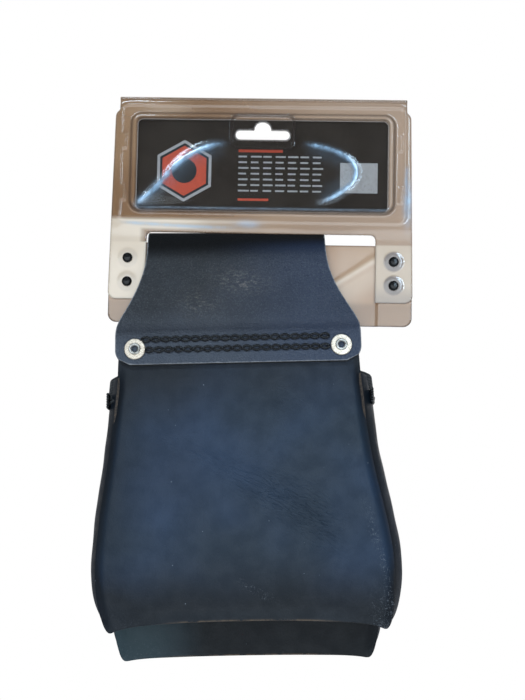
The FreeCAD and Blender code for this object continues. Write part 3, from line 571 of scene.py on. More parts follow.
def finish_set(colours):
    """Every finish once, by name."""
    tan, haze = tuple(colours.sheet), tuple(colours.sheet_haze)
    return {
        "harness": harness_leather(colours),
        "bag": bag_leather(colours),
        "harness_edge": cut_edge("harness_cut_edge", srgb(64, 62, 60), srgb(20, 20, 21)),
        "bag_edge": cut_edge("bag_cut_edge", srgb(84, 70, 58), srgb(34, 32, 32)),
        "thread": twisted_thread(),
        "binding": woven_binding(),
        "washer": nickel("washer_nickel", srgb(226, 214, 196), srgb(206, 192, 174)),
        "rivet": nickel("rivet_nickel", srgb(206, 204, 198), srgb(160, 156, 148)),
        "stud": stud_plastic(),
        "cover": sheet_plastic("cover_sheet", tan, haze, 0.6),
        "back": sheet_plastic("back_sheet", tan, haze, 0.84),
        "strap": sheet_plastic("strap_sheet", srgb(176, 136, 103), haze, 0.9),
        "card": card_stock(),
        "ink_pale": ink("ink_pale", srgb(206, 200, 196)),
        "ink_orange": ink("ink_orange", srgb(242, 92, 54)),
        "ink_black": ink("ink_black", srgb(24, 22, 21)),
    }


FINISHES = {}


def finish(name):
    """A finish by name; the set is made on first use."""
    if not FINISHES:
        FINISHES.update(finish_set(bpy.context.scene.pouch_colours))
    return FINISHES[name]


# ---------------------------------------------------------------- bags as leaning layers
# Each layer swings forward about the line along X at FAN_Z, and depths are measured at FAN_REF_Z.
FAN_Z = 250.0
FAN_REF_Z = -165.0
PANEL_THICK = 3.0
PANEL_FACE_Y = 1.5
WALL_LESS = 0.4  # how much thinner a visible wall is than its solid
SEAM_PULL = 1.6
SAG, SAG_UNEVEN, SAG_REACH = 1.1, 0.7, 25.0
TUCK, TUCK_FROM, TUCK_TO = 3.5, 34.0, 18.0  # depth, and its start and full depth below the neck


class BagShape:
    """A bag's outline and depths. top, neck and hip are (height, half width); belly and corner are
    (height, left half, right half). The heel curves from belly to corner, and the hem arches
    between the corners."""

    corner_share, heel_pull, heel_lean, heel_lift = 0.3, 0.55, 0.16, 0.12
    hem_step, hem_rise, hem_pull = 0.07, 0.7, 0.6

    def __init__(self, **shape):
        self.top, self.neck, self.hip = shape["top"], shape["neck"], shape["hip"]
        self.belly, self.corner, self.arch = shape["belly"], shape["corner"], shape["arch"]
        self.depth, self.mouth, self.fall = shape["depth"], shape["mouth"], shape["fall"]
        self.nose, self.base_y, self.bulge = shape["nose"], shape["base_y"], shape["bulge"]

    def flank(self, way, z):
        """Half width above the belly on the left (way -1) or the right (way 1)."""
        belly = self.belly[1 if way < 0 else 2]
        return through([self.belly[0], self.hip[0], self.neck[0], self.top[0]],
                       [belly, self.hip[1], self.neck[1], self.top[1]], z)

    def edge(self, way, top, count, swell=0.0, fall=0.0, dip=0.0):
        """One side from top down round the heel to the low corner, as (x, z). swell is a share of
        the bulge, fall draws the side in and dip lowers the corner; the heel is a Bezier curve."""
        side = 1 if way < 0 else 2
        bulge = self.bulge[side - 1] * swell
        z = np.linspace(top, self.belly[0], 60)
        x = self.flank(way, z) + bulge - fall
        high, low = self.belly[0] - self.corner[0], self.corner[0] - dip
        foot = self.corner[side] + bulge * self.corner_share - fall
        start, end = [x[-1], z[-1]], [foot, low]
        pull = [x[-1], z[-1] - high * self.heel_pull]
        lean = [foot + high * self.heel_lean, low + high * self.heel_lift]
        heel = bezier([start, pull, lean, end], 40)
        return even(np.concatenate([np.stack([x, z], axis=1), heel[1:]]), count) * [way, 1.0]

    def hem(self, left, right, count):
        """Lower edge between the corners, as (x, z): one Bezier curve up from each to the
        middle."""
        halves = []
        for x, z in (left, right):
            step = [x * (1.0 - self.hem_step), z + self.arch * self.hem_rise]
            crown = z + self.arch
            halves.append(bezier([[x, z], step, [x * self.hem_pull, crown], [0.0, crown]], 50))
        return even(np.concatenate([halves[0], halves[1][::-1][1:]]), count)

    def rim(self, top, count, across, swell=0.0, fall=0.0, dip=0.0, reach=3):
        """The U-shaped edge (x, z): down the left side, along the hem and up the right side, its
        two low corners rounded. Returns it with the numbers of the corner points."""
        left = self.edge(-1.0, top, count, swell, fall, dip)
        right = self.edge(1.0, top, count, swell, fall, dip)
        line = np.concatenate([left, self.hem(left[-1], right[-1], across)[1:-1], right[::-1]])
        return soften(line, reach), count - 1, count + across - 2

    def lean(self, points, depth, outer=None):
        """Points drawn on the base plane, swung forward about the far line above so that they stand
        depth further out. outer is the bag that this one is mounted on."""
        angle = np.arctan2(depth, FAN_Z - FAN_REF_Z)
        y, z = points[..., 1] - self.base_y, points[..., 2] - FAN_Z
        turned = np.stack([points[..., 0], y * np.cos(angle) - z * np.sin(angle) + self.base_y,
                           y * np.sin(angle) + z * np.cos(angle) + FAN_Z], axis=-1)
        return outer.lean(turned, outer.depth) if outer else turned

    def top_at(self, depth, lift=0.0):
        """Height, in a layer's own plane, at which the slanted mouth cuts it."""
        angle = np.arctan2(depth, FAN_Z - FAN_REF_Z)
        slope = self.fall / self.depth
        return FAN_Z - (FAN_Z - self.mouth - lift) / (np.cos(angle) - slope * np.sin(angle))

    def layers(self, start, walls, rounds, inset=0.0):
        """(depth, swell, fall, dip) of each layer: the side swells by a half sine, drawn in at the
        seam, and then turns in by a quarter circle of the nose radius."""
        nose = self.nose - inset
        straight = self.depth - inset - nose
        part = np.linspace(start / straight, 1.0, walls)
        bulge = np.sin(np.pi * part)
        seam = SEAM_PULL * (1.0 - smooth(part, 0.0, 0.35))
        turn = np.linspace(0.0, np.pi / 2.0, rounds + 1)[1:]
        in_by = nose * (1.0 - np.cos(turn))
        depth = np.concatenate([straight * part, straight + nose * np.sin(turn)])
        swells = np.concatenate([bulge, np.zeros(rounds)])
        falls = np.concatenate([seam, in_by]) + inset
        return depth, swells, falls, 0.6 * swells - falls

    def mouth_path(self, lift, offset, across=70, outer=None):
        """The mouth's line on its slanted plane, offset outwards: along the left side layers,
        straight across the front and back along the right side layers. Its ends start behind the
        face of the panel that it is sewn to, and step forward of it low down."""
        start = -1.1 + 2.4 * smooth(lift, -5.0, -18.0)
        depth, swells, falls, _ = self.layers(start, 10, 8, -offset)
        top = self.top_at(depth, lift)
        sides = []
        for way, bulge in ((-1.0, self.bulge[0]), (1.0, self.bulge[1])):
            x = way * (self.flank(way, top) + bulge * swells - falls)
            flat = np.stack([x, np.full_like(x, self.base_y), top], axis=1)
            sides.append(self.lean(flat, depth, outer))
        left, right = sides
        share = np.linspace(0.0, 1.0, across)[1:-1, None]
        front = left[-1] * (1 - share) + right[-1] * share
        return np.concatenate([left, front, right[::-1]])


MAIN = BagShape(
    top=(-25.0, 69.3), neck=(-52.0, 70.6), hip=(-105.0, 76.7), belly=(-160.0, 82.4, 85.4),
    corner=(-193.0, 73.2, 79.0), arch=6.4, depth=44.0, mouth=-49.5, fall=10.0, nose=13.0,
    base_y=PANEL_FACE_Y, bulge=(5.0, 6.0))
FRONT = BagShape(
    top=(-104.0, 62.0), neck=(-122.0, 64.5), hip=(-152.0, 70.5), belly=(-192.0, 80.5, 80.5),
    corner=(-218.5, 73.5, 73.5), arch=3.0, depth=34.0, mouth=-116.0, fall=9.0, nose=12.0,
    base_y=PANEL_FACE_Y + PANEL_THICK, bulge=(3.2, 3.2))


def panel_points(bag, top, rows, cols):
    """A flat panel inside the bag's outline: the Coons grid between its straight top, sides and
    hem, with the distance of each point from the sides and from the hem."""
    rim, low_left, low_right = bag.rim(top, rows, cols)
    left, hem, right = rim[:low_left + 1], rim[low_left:low_right + 1], rim[low_right:][::-1]
    grid = coons(np.linspace(left[0], right[0], len(hem)), hem, left, right)
    x, z = grid[..., 0], grid[..., 1]
    heights = left[::-1, 1] + np.arange(len(left)) * 1e-6
    left_x, right_x = (np.interp(z, heights, side[::-1, 0]) for side in (left, right))
    to_side = np.minimum(x - left_x, right_x - x)
    to_hem = z - hem[None, :, 1]
    return grid, np.abs(to_side), np.abs(to_hem)


def bag_points(bag, outer=None, rows=84, across=110, walls=12, rounds=9, start=2.3):
    """A bag's outer skin: U-shaped layers from the seam to the front, closed by the flat front
    face. Each layer starts where the slanted mouth cuts it."""
    wall = []
    for d, *turn in zip(*bag.layers(start, walls, rounds)):
        edge, low_left, low_right = bag.rim(float(bag.top_at(d)), rows, across, *turn)
        flat = np.stack([edge[:, 0], np.full(len(edge), bag.base_y), edge[:, 1]], axis=1)
        wall.append(bag.lean(flat, d, outer))
    wall = np.array(wall)
    last = wall[-1]
    left, hem, right = last[:low_left + 1], last[low_left:low_right + 1], last[low_right:][::-1]
    start_line = np.linspace(left[0], right[0], len(hem))
    return wall, coons(start_line, hem, left, right)


def bag_skin(name, bag, outer, seed):
    """A bag as one welded sheet, softly uneven: its front sags outwards below the mouth, and near
    the mouth its first layers are tucked towards the panel. The scuffed lower corners and painted
    shade along the seam are marked."""
    wall, front = bag_points(bag, outer)
    middle = np.array([0.0, bag.base_y + bag.depth / 2.0, (bag.mouth + bag.corner[0]) / 2.0])
    uneven = 0.5 * swell(wall[..., 2], wall[..., 1] + wall[..., 0], 31.0, seed)
    wall = wall + uneven[..., None] * unit((wall - middle) * [1.0, 0.3, 0.2])
    mouth_z = front[0, 0, 2]
    sag = smooth(front[..., 2], mouth_z, mouth_z - SAG_REACH)
    above_hem = np.linspace(0, 1, front.shape[0])[::-1, None]
    from_side = 1.0 - np.abs(np.linspace(-1, 1, front.shape[1]))[None, :]
    inside = smooth(np.minimum(above_hem, from_side), 0.0, 0.16)
    uneven = SAG_UNEVEN * swell(front[..., 0], front[..., 2], 46.0, seed + 1)
    front[..., 1] += inside * sag * (SAG + uneven)
    near = np.linspace(1.0, 0.0, len(wall))[:, None] ** 4
    neck_z = bag.neck[0]
    wall[..., 1] -= TUCK * near * smooth(wall[..., 2], neck_z - TUCK_FROM, neck_z - TUCK_TO)
    points, faces = joined([(wall, False), (front, True)])
    low = smooth(points[:, 2], bag.corner[0] + 34.0, bag.corner[0] + 4.0)
    corner = smooth(np.abs(points[:, 0]), 0.72 * bag.corner[2], 1.05 * bag.corner[2])
    # Painted shade on the layers nearest the seam, fading towards the front.
    seam = np.repeat(np.linspace(1.0, -0.6, len(wall)), wall.shape[1])
    seam = np.concatenate([seam, np.zeros(front[..., 0].size)])
    shades = {"scuff": low * corner * 0.35, "deep": np.clip(seam, 0.0, 1.0)}
    obj = new_mesh(name, points, faces, [finish("bag"), finish("bag_edge")], shades, weld=0.02)
    return thicken(obj, PANEL_THICK - WALL_LESS)


# ---------------------------------------------------------------- pouch pieces
LOOP_THICK = 4.0
LOOP_MID_Y = 6.7
FOOT_MID_Y = 3.5
LOOP_TOP = 35.2
LOOP_CANT = math.radians(1.4)
BEND_TOP, BEND_END = -18.0, -27.0
LOOP_END = node_box("belt_loop")[0][2]
LOOP_CORNER = 8.5
LOOP_WAIST = ((-26.0, 71.0), (-11.0, 64.0), (14.0, 53.3), (LOOP_TOP, 51.6))
STITCH_ROWS = (-28.8, -34.9)
STITCH_PITCH = 5.75
THREAD_R = 0.72
RIVET_X, RIVET_Z = 59.5, -34.2


def loop_half(z):
    """Half width of the loop at a height: a curve through LOOP_WAIST, flared below and waisted
    above, less a quarter circle at the low corners."""
    wide = through(*zip(*LOOP_WAIST), z, (-0.12, -0.04))
    below = np.clip(LOOP_END + LOOP_CORNER - z, 0.0, LOOP_CORNER)
    return wide - LOOP_CORNER + np.sqrt(LOOP_CORNER**2 - below**2)


def loop_path(side_offset, legs=(14, 12, 64, 22)):
    """One turn of the loop in (y, z) at side_offset from its middle surface, from the front foot
    over the fold to the rear foot: foot, two arcs, leg, half circle, and back. The third value is
    how far a point follows the fold's cant."""
    foot, arcs, leg, fold = legs
    drop = BEND_TOP - BEND_END
    turn = 2.0 * math.atan2(LOOP_MID_Y - FOOT_MID_Y, drop)
    bend = drop / (2.0 * math.sin(turn))
    crown = LOOP_TOP - LOOP_THICK / 2.0 - LOOP_MID_Y
    z1 = LOOP_END + (BEND_END - LOOP_END) * np.linspace(0.0, 1.0, foot) ** 0.6
    lower = np.linspace(np.pi, np.pi - turn, arcs)[1:]
    upper = np.linspace(-turn, 0.0, arcs)[1:]
    z4 = np.linspace(BEND_TOP, crown, leg)[1:]
    y = np.concatenate([
        np.full(foot, FOOT_MID_Y + side_offset),
        FOOT_MID_Y + bend + (bend - side_offset) * np.cos(lower),
        LOOP_MID_Y - bend + (bend + side_offset) * np.cos(upper),
        np.full(leg - 1, LOOP_MID_Y + side_offset)])
    z = np.concatenate([z1, BEND_END + (bend - side_offset) * np.sin(lower),
                        BEND_TOP + (bend + side_offset) * np.sin(upper), z4])
    over = np.linspace(0.0, np.pi / 2.0, fold)[1:]
    radius = LOOP_MID_Y + side_offset
    y = np.concatenate([y, radius * np.cos(over)])
    z = np.concatenate([z, crown + radius * np.sin(over)])
    cant = smooth(z, BEND_TOP, crown)
    half = np.stack([y, z, cant], axis=1)
    rear = half[::-1][1:] * [-1.0, 1.0, 1.0]
    return np.concatenate([half, rear])


def make_loop():
    """The belt loop: its outer skin follows the folded path, as wide as the loop is at each height;
    stitch rows are pressed in and the two rivets dish it slightly."""
    path = loop_path(LOOP_THICK / 2.0)
    u = np.sin(np.linspace(-np.pi / 2.0, np.pi / 2.0, 151))
    y = np.broadcast_to(path[:, 0:1], (len(path), len(u))).copy()
    z = path[:, 1:2] + np.zeros_like(u)
    x = u[None, :] * loop_half(z)
    z = z - path[:, 2:3] * x * math.tan(LOOP_CANT)
    out = np.sign(y) * smooth(np.abs(y), 1.0, 5.0)
    rows = sum(dent(z - row, 1.5) for row in STITCH_ROWS)
    between = smooth(np.abs(x), 66.0, 60.0)
    pull = 0.35 * rows * between * (0.7 + 0.3 * np.sin(2.0 * np.pi * x / STITCH_PITCH))
    dish = 0.35 * dent(np.hypot(np.abs(x) - RIVET_X, z - RIVET_Z), 9.0)
    wave = 0.22 * swell(x, z, 42.0, 3) * smooth(z, -24.0, 0.0)
    y = y + out * (wave - pull - dish)
    edge = np.minimum(loop_half(path[:, 1:2]) - np.abs(x), path[:, 1:2] - LOOP_END)
    wearer_side = y < 0
    scuff = 0.6 * dent(np.hypot((x - 3.0) / 2.2, z - 4.0 + 0.1 * x), 6.0)
    scuff = scuff + 0.4 * dent(np.hypot((x + 22.0) / 1.5, z + 9.0), 7.0)
    shades = {
        "edge": np.abs(edge),
        "scuff": scuff * wearer_side,
        # painted blue sky reflection on the right of the wearer's side, below the fold
        "blue": smooth(x, -20.0, 50.0) * smooth(z, 30.0, 22.0) * wearer_side,
        "grain": smooth(z, 27.0, 12.0),
        # painted dark shade over the top of the fold
        "fold": smooth(z, 10.0, 27.0),
        # painted pale light low on the flap, weaker on its front face
        "foot": smooth(z, -8.0, -38.0) * np.where(wearer_side, 1.0, 0.4),
    }
    obj = grid_mesh("loop_leather", np.stack([x, y, z], axis=-1),
                    [finish("harness"), finish("harness_edge")], shades)
    thicken(obj, LOOP_THICK, ease=0.7)
    return belongs(obj, "pouch", "harness_leather", "belt_loop")


# The belt of creases: a point on its middle line, how much the line falls per millimetre to the
# right, and how much longer the line is than its run.
CREASE_X, CREASE_Z, CREASE_SLOPE, CREASE_STRETCH = -44.0, -84.0, 0.545, 1.14


def make_rear_panel():
    """The rear panel: flat where the loop lies on it, crowned below, its two side edges rolled
    towards the bag and its hem lipped outwards. A slanting belt of creases crosses it, and its
    rubbed lines, raw edges and painted shade are marked."""
    grid, to_side, to_hem = panel_points(MAIN, -25.5, 170, 140)
    x, z = grid[..., 0], grid[..., 1]
    rim = np.minimum(to_side, to_hem)
    crown = 1.3 * smooth(z, -46.0, -90.0) * smooth(rim, 2.0, 26.0)
    roll = 2.8 * smooth(to_side, 6.5, 0.0) ** 1.6
    roll *= smooth(z, -40.0, -56.0) * smooth(to_hem, 0.0, 8.0)
    lip = 1.7 * smooth(to_hem, 8.0, -3.0) * smooth(np.abs(x - 4.0), 66.0, 44.0)
    soft = 0.55 * swell(x, z, 62.0, 11) * smooth(rim, 3.0, 20.0) * smooth(z, -46.0, -70.0)
    y = -PANEL_THICK / 2.0 - crown + roll - lip + soft
    across_belt = (z - CREASE_Z + CREASE_SLOPE * (x - CREASE_X)) / CREASE_STRETCH
    belt = dent(across_belt, 5.0 + 0.1 * (x + 50.0))
    dense = 0.35 + 0.65 * smooth(x, -30.0, 30.0)
    crease = belt * dense * smooth(x, -56.0, -40.0) * smooth(x, 66.0, 44.0)
    crease += 0.4 * dent(np.hypot(x - 26.0, (z + 66.0) * 1.4), 12.0)
    rub_line = dent(to_side - 10.0 + 7.0 * smooth(z, -130.0, -180.0), 2.4) * (x > 0)
    right_edge = 0.75 * rub_line * smooth(z, -116.0, -132.0)
    right_low = 0.55 * smooth(z, -166.0, -180.0) * smooth(x, 66.0, 78.0)
    left_low = 0.14 * smooth(z, -176.0, -188.0) * smooth(-x, 50.0, 66.0)
    dusty = 0.5 * dent(z + 170.0 + 0.5 * (x - 6.0), 2.6)
    dusty *= smooth(x, -6.0, 2.0) * smooth(x, 24.0, 12.0)
    raw_side = 0.12 * smooth(to_side, 1.3, 0.5) * (x > 0) * smooth(z, -52.0, -70.0)
    raw_hem = 0.8 * smooth(to_hem, 0.9, 0.3) * smooth(np.abs(x - 6.0), 52.0, 30.0)
    # Painted shade on the far left, near the hem, under the flap, over the middle left and along
    # the side edges.
    deep = (0.3 * smooth(x, -56.0, -78.0) + smooth(to_hem, 42.0, 6.0)
            + 0.72 * smooth(z, -84.0, -46.0)
            + 0.28 * smooth(x, -6.0, -40.0) * smooth(z, -140.0, -100.0)
            + 0.6 * smooth(to_side, 5.0, 0.0))
    shades = {
        "scuff": np.clip(right_edge + right_low + left_low + dusty, 0.0, 1.0),
        "crease": crease,
        "raw": np.maximum(raw_side, raw_hem),
        "deep": np.clip(deep, 0.0, 1.0),
    }
    obj = grid_mesh("rear_panel_leather", np.stack([x, y, z], axis=-1),
                    [finish("bag"), finish("bag_edge")], shades)
    thicken(obj, PANEL_THICK - WALL_LESS)
    return belongs(obj, "pouch", "bag_leather", "rear_panel")


def make_front_back():
    """Back panel of the front bag: the same kind of panel, leaned out with the front of the main
    bag."""
    grid, to_side, to_hem = panel_points(FRONT, FRONT.top[0] - 0.3, 110, 110)
    x, z = grid[..., 0], grid[..., 1]
    roll = 2.6 * smooth(to_side, 9.0, 0.0) ** 1.3
    roll *= smooth(z, -112.0, -126.0) * smooth(to_hem, 0.0, 8.0)
    lip = 0.8 * smooth(to_hem, 7.0, -3.0) * smooth(np.abs(x), 62.0, 40.0)
    points = MAIN.lean(np.stack([x, PANEL_FACE_Y + roll - lip, z], axis=-1), MAIN.depth)
    low = smooth(points[..., 2], -196.0, -210.0) * smooth(-x, 40.0, 66.0)
    raw = smooth(to_hem, 1.0, 0.3) * smooth(np.abs(x - 4.0), 60.0, 30.0)
    # Painted light, a lighter greenish grey, towards the left, and painted shade over the rest,
    # under the main bag's hem.
    left = smooth(x, -20.0, -66.0)
    shades = {"scuff": 0.3 * low, "raw": raw, "deep": 1.15 * (1.0 - left), "bloom": left}
    obj = grid_mesh("front_back_leather", points, [finish("bag"), finish("bag_edge")], shades)
    thicken(obj, PANEL_THICK - WALL_LESS)
    return belongs(obj, "pouch", "bag_leather", "front_bag_back")


TAPE_LOW, TAPE_INNER_LOW, TAPE_THICK = -14.0, -9.0, 1.1


def make_binding(name, bag, outer, node):
    """Woven tape folded over a bag's mouth: a profile of (outward, lift) pairs, up the outside,
    over by a half oval and down the inside, carried along the mouth line. Its low ends flare a
    little."""
    turn = np.linspace(0.0, np.pi, 9)
    mid, span = -1.5, 2.4
    over = [(mid + span * np.cos(a), 0.5 + 0.9 * np.sin(a)) for a in turn]
    profile = [(0.9, lift) for lift in np.linspace(TAPE_LOW, -0.5, 12)] + over
    profile += [(mid - span, lift) for lift in np.linspace(-0.5, TAPE_INNER_LOW, 7)]
    profile = np.array(profile)
    rings = np.array([bag.mouth_path(lift, offset, outer=outer) for offset, lift in profile])
    share = np.linspace(0.0, 1.0, rings.shape[1])
    ends = dent(share, 0.02) + dent(share - 1.0, 0.02)
    low = smooth(profile[:, 1], TAPE_INNER_LOW, TAPE_LOW)[:, None]
    rings[..., 0] += np.sign(rings[..., 0]) * 0.9 * ends[None, :] * low
    rings = rings + 0.12 * swell(rings[..., 0] + rings[..., 1], rings[..., 2], 9.0, 5)[..., None]
    along, girth = travelled(rings[0])[None, :], travelled(profile)[:, None]
    uv = np.stack(np.broadcast_arrays(along, girth), axis=-1)
    obj = grid_mesh(name, rings, [finish("binding")], uv=uv, flip=True)
    thicken(obj, TAPE_THICK, offset=0.0, ease=0.25, cut_finish=0)
    return belongs(obj, "pouch", "binding", node)


def chain_row(x_from, x_to, z, y, out):
    """One row of chain stitch on a face that looks along out: two strands that swing apart by a
    sine and cross at every hole, where they also dip into the leather. Returns two paths."""
    count = max(2, round((x_to - x_from) / STITCH_PITCH))
    t = np.linspace(0.0, count, count * 16 + 1)
    x = x_from + (x_to - x_from) * t / count
    uneven = 1.0 + 0.12 * swell(x, z + 0 * x, 17.0, int(-z * 10))
    dip = np.abs(np.sin(np.pi * t)) ** 0.6
    paths = []
    for way in (-1.0, 1.0):
        swing = way * 1.32 * np.sin(np.pi * t) * uneven
        over = 0.35 * way * np.cos(np.pi * t)
        proud = THREAD_R * (0.15 + 0.75 * dip) + 0.25 * over
        paths.append(np.stack([x, y + out * proud, z + swing], axis=1))
    return paths


STITCH_STEPS = 8


def lock_arch(angle, thread_r):
    """Height of lock stitch over the leather, where each stitch takes half a turn of angle: the
    square root of its sine times 1.25 thread radii, less 0.75, so that it ends below the surface at
    every hole."""
    return thread_r * (np.abs(np.sin(angle)) ** 0.5 * 1.25 - 0.75)


def lock_row(points, out, pitch, thread_r):
    """One row of lock stitch along points, its arches rising along out, away from the leather."""
    count = max(2, round(travelled(points)[-1] / pitch))
    t = np.linspace(0.0, count, count * STITCH_STEPS + 1)
    return even(points, len(t)) + lock_arch(np.pi * t, thread_r)[:, None] * out


def thread_mesh(name, paths, radius, sides=7):
    """All the strands as one mesh, each a tube with its own length and girth map, closed at both
    ends by drawing its last rings in."""
    points, faces, uvs, start = [], [], [], 0
    for path in paths:
        share = np.linspace(0.0, 1.0, len(path))
        taper = np.clip(np.minimum(share, 1.0 - share) * len(path) / 1.5, 0.02, 1.0)
        rings = tube(path, radius * taper, sides)
        rings = np.concatenate([rings, rings[:, :1]], axis=1)
        faces.append(quads(*rings.shape[:2]) + start)
        points.append(rings.reshape(-1, 3))
        uvs.append(tube_uv(path, sides + 1, radius).reshape(-1, 2))
        start += rings.shape[0] * rings.shape[1]
    return new_mesh(name, np.concatenate(points), np.concatenate(faces), [finish("thread")],
                    uv=np.concatenate(uvs), weld=0.005)


def make_loop_stitches():
    """The two chain-like rows across the foot of the loop: on the wearer's side the strands bulge,
    on the front they lie as plain lock stitch."""
    rear = -(FOOT_MID_Y + LOOP_THICK / 2.0)
    front = -rear
    paths = chain_row(-56.0, 53.0, STITCH_ROWS[0], rear, -1.0)
    paths += chain_row(-54.0, 53.0, STITCH_ROWS[1], rear, -1.0)
    for z in STITCH_ROWS:
        line = np.array([[-53.0, front, z], [53.0, front, z]])
        paths.append(lock_row(line, np.array([0.0, 1.0, 0.0]), STITCH_PITCH, THREAD_R))
    return belongs(thread_mesh("loop_stitches", paths, THREAD_R), "pouch", "thread")


def make_binding_stitches():
    """One row of lock stitch near the lower edge of each binding, all along the mouth."""
    paths = []
    fine_r, pitch, height, proud = 0.42, 3.6, TAPE_LOW + 2.4, 1.5
    for bag, outer in ((MAIN, None), (FRONT, MAIN)):
        line = bag.mouth_path(height, proud, outer=outer)
        out = unit(bag.mouth_path(height, proud + 1.0, outer=outer) - line)
        count = round(travelled(line)[-1] / pitch)
        share = np.linspace(0.0, 1.0, count * STITCH_STEPS + 1)
        both = even(np.concatenate([line, out], axis=1), len(share))
        lift = lock_arch(np.pi * count * share, fine_r)
        paths.append(both[:, :3] + lift[:, None] * unit(both[:, 3:]))
    return belongs(thread_mesh("binding_stitches", paths, fine_r, 6), "pouch", "thread")


def make_seam_tacks():
    """Close turns of thread over each end of the main binding, each a half sine proud of it."""
    paths = []
    turns = 6
    for name, side in (("seam_tack_left", -1.0), ("seam_tack_right", 1.0)):
        low, high = node_box(name)
        x = (high[0] if side > 0 else low[0]) - side * 1.9
        for k in range(turns):
            z = low[2] + 1.0 + (high[2] - low[2] - 2.0) * k / (turns - 1)
            t = np.linspace(0.0, np.pi, 14)
            y = low[1] + 0.4 + (high[1] - low[1] - 0.8) * (1.0 - np.cos(t)) / 2.0
            proud = x + side * (np.sin(t) - 1.0)
            paths.append(np.stack([proud, y, z + 0.3 * np.sin(2.0 * t)], axis=1))
    obj = thread_mesh("seam_tack_thread", paths, 0.85, 10)
    return belongs(obj, "pouch", "thread", "seam_tack_left", "seam_tack_right")


TOOL_LOOPS = 4
TOOL_PITCH = 27.5
TOOL_WIDE, TOOL_DEEP = 7.0, 11.0
STRIP_TOP, STRIP_HIGH, STRIP_THICK, STRIP_TAIL = -77.0, 23.0, 2.5, 5.0


def strip_line():
    """The strip's rear surface seen from above, as (x, y): flat between the loops, each loop a half
    oval with a small round where it leaves the flat."""
    pieces = [np.array([[-(TOOL_LOOPS * TOOL_PITCH / 2.0 + STRIP_TAIL), 0.0]])]
    for i in range(TOOL_LOOPS):
        centre = (i - (TOOL_LOOPS - 1) / 2.0) * TOOL_PITCH
        a = np.linspace(np.pi, 0.0, 40)
        pieces.append(np.stack([centre + TOOL_WIDE * np.cos(a), TOOL_DEEP * np.sin(a)], axis=1))
    pieces.append(pieces[0] * [-1.0, 1.0])
    return soften(even(np.concatenate(pieces), 420), 8)


def make_tool_strip():
    """The tool loops: the strip's line carried up by its height and leaned with the front of the
    bag."""
    line = strip_line()
    up = STRIP_TOP - STRIP_HIGH * np.linspace(0.0, 1.0, 22)
    out = PANEL_FACE_Y + 0.3 + line[None, :, 1]
    grid = np.stack(np.broadcast_arrays(line[None, :, 0], out, up[:, None]), axis=-1)
    to_edge = np.minimum(STRIP_TOP - up, up - STRIP_TOP + STRIP_HIGH)
    shades = {
        "edge": np.broadcast_to(to_edge[:, None], grid.shape[:2]),
        "scuff": 0.5 * smooth(grid[..., 1], 6.0, 13.0),
        "grain": np.full(grid.shape[:2], 0.7),
    }
    obj = grid_mesh("tool_loops_leather", MAIN.lean(grid, MAIN.depth),
                    [finish("harness"), finish("harness_edge")], shades, flip=True)
    thicken(obj, STRIP_THICK - 0.3, offset=1.0)
    return belongs(obj, "pouch", "harness_leather", "tool_loop_strip")


POCKET_HALF, POCKET_TOP, POCKET_HIGH, POCKET_DEEP, POCKET_ROUND = 32.0, -147.0, 50.0, 14.0, 12.0


def make_pocket():
    """The patch pocket: its walls rise straight from the bag by its depth and round into the face.
    Its outline runs down the left side, round two quarter circles and along the bottom."""
    low, base, nose = POCKET_TOP - POCKET_HIGH, PANEL_FACE_Y + PANEL_THICK, 4.0
    a = np.linspace(np.pi, 1.5 * np.pi, 14)
    heel = [-POCKET_HALF, low] + POCKET_ROUND * (1.0 + np.stack([np.cos(a), np.sin(a)], axis=1))
    half = np.concatenate([[[-POCKET_HALF, POCKET_TOP]], heel, [[0.0, low]]])
    rim = even(np.concatenate([half, (half * [-1.0, 1.0])[::-1][1:]]), 150)
    out = unit(np.stack([np.gradient(rim[:, 1]), -np.gradient(rim[:, 0])], axis=1))
    turn = np.linspace(0.0, np.pi / 2.0, 7)[1:]
    straight = POCKET_DEEP - nose
    rise = np.concatenate([np.linspace(0.3, straight, 7), straight + nose * np.sin(turn)])
    back = np.concatenate([np.zeros(7), nose * (1.0 - np.cos(turn))])
    drawn = rim[None] - back[:, None, None] * out[None]
    depth = base + rise[:, None]
    wall = np.stack(np.broadcast_arrays(drawn[..., 0], depth, drawn[..., 1]), axis=-1)
    wall[:, [0, -1], 2] = POCKET_TOP
    last = wall[-1]
    left, hem, right = last[:51], last[50:100], last[99:][::-1]
    front = coons(np.linspace(left[0], right[0], len(hem)), hem, left, right)
    points, faces = joined([(wall, False), (front, True)])
    points = FRONT.lean(points, FRONT.depth, MAIN)
    shades = {"scuff": np.full(len(points), 0.12)}
    obj = new_mesh("pocket_leather", points, faces, [finish("bag"), finish("bag_edge")], shades,
                   weld=0.02)
    thicken(obj, PANEL_THICK - WALL_LESS)
    return belongs(obj, "pouch", "bag_leather", "patch_pocket")


# ---------------------------------------------------------------- metal and studs
def dress(node, *finishes):
    """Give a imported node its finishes."""
    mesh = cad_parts[node].data
    mesh.materials.clear()
    for name in finishes:
        mesh.materials.append(finish(name))


def make_rivets():
    """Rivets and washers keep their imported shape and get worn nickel."""
    for side in ("left", "right"):
        dress("belt_rivet_" + side, "rivet")
        dress("belt_washer_" + side, "washer")
    dress("tool_strip_rivets", "rivet")
    dress("front_bag_rivets", "rivet")


def make_studs():
    """The four black press studs."""
    for place in ("upper_left", "lower_left", "upper_right", "lower_right"):
        dress("stud_" + place, "stud")


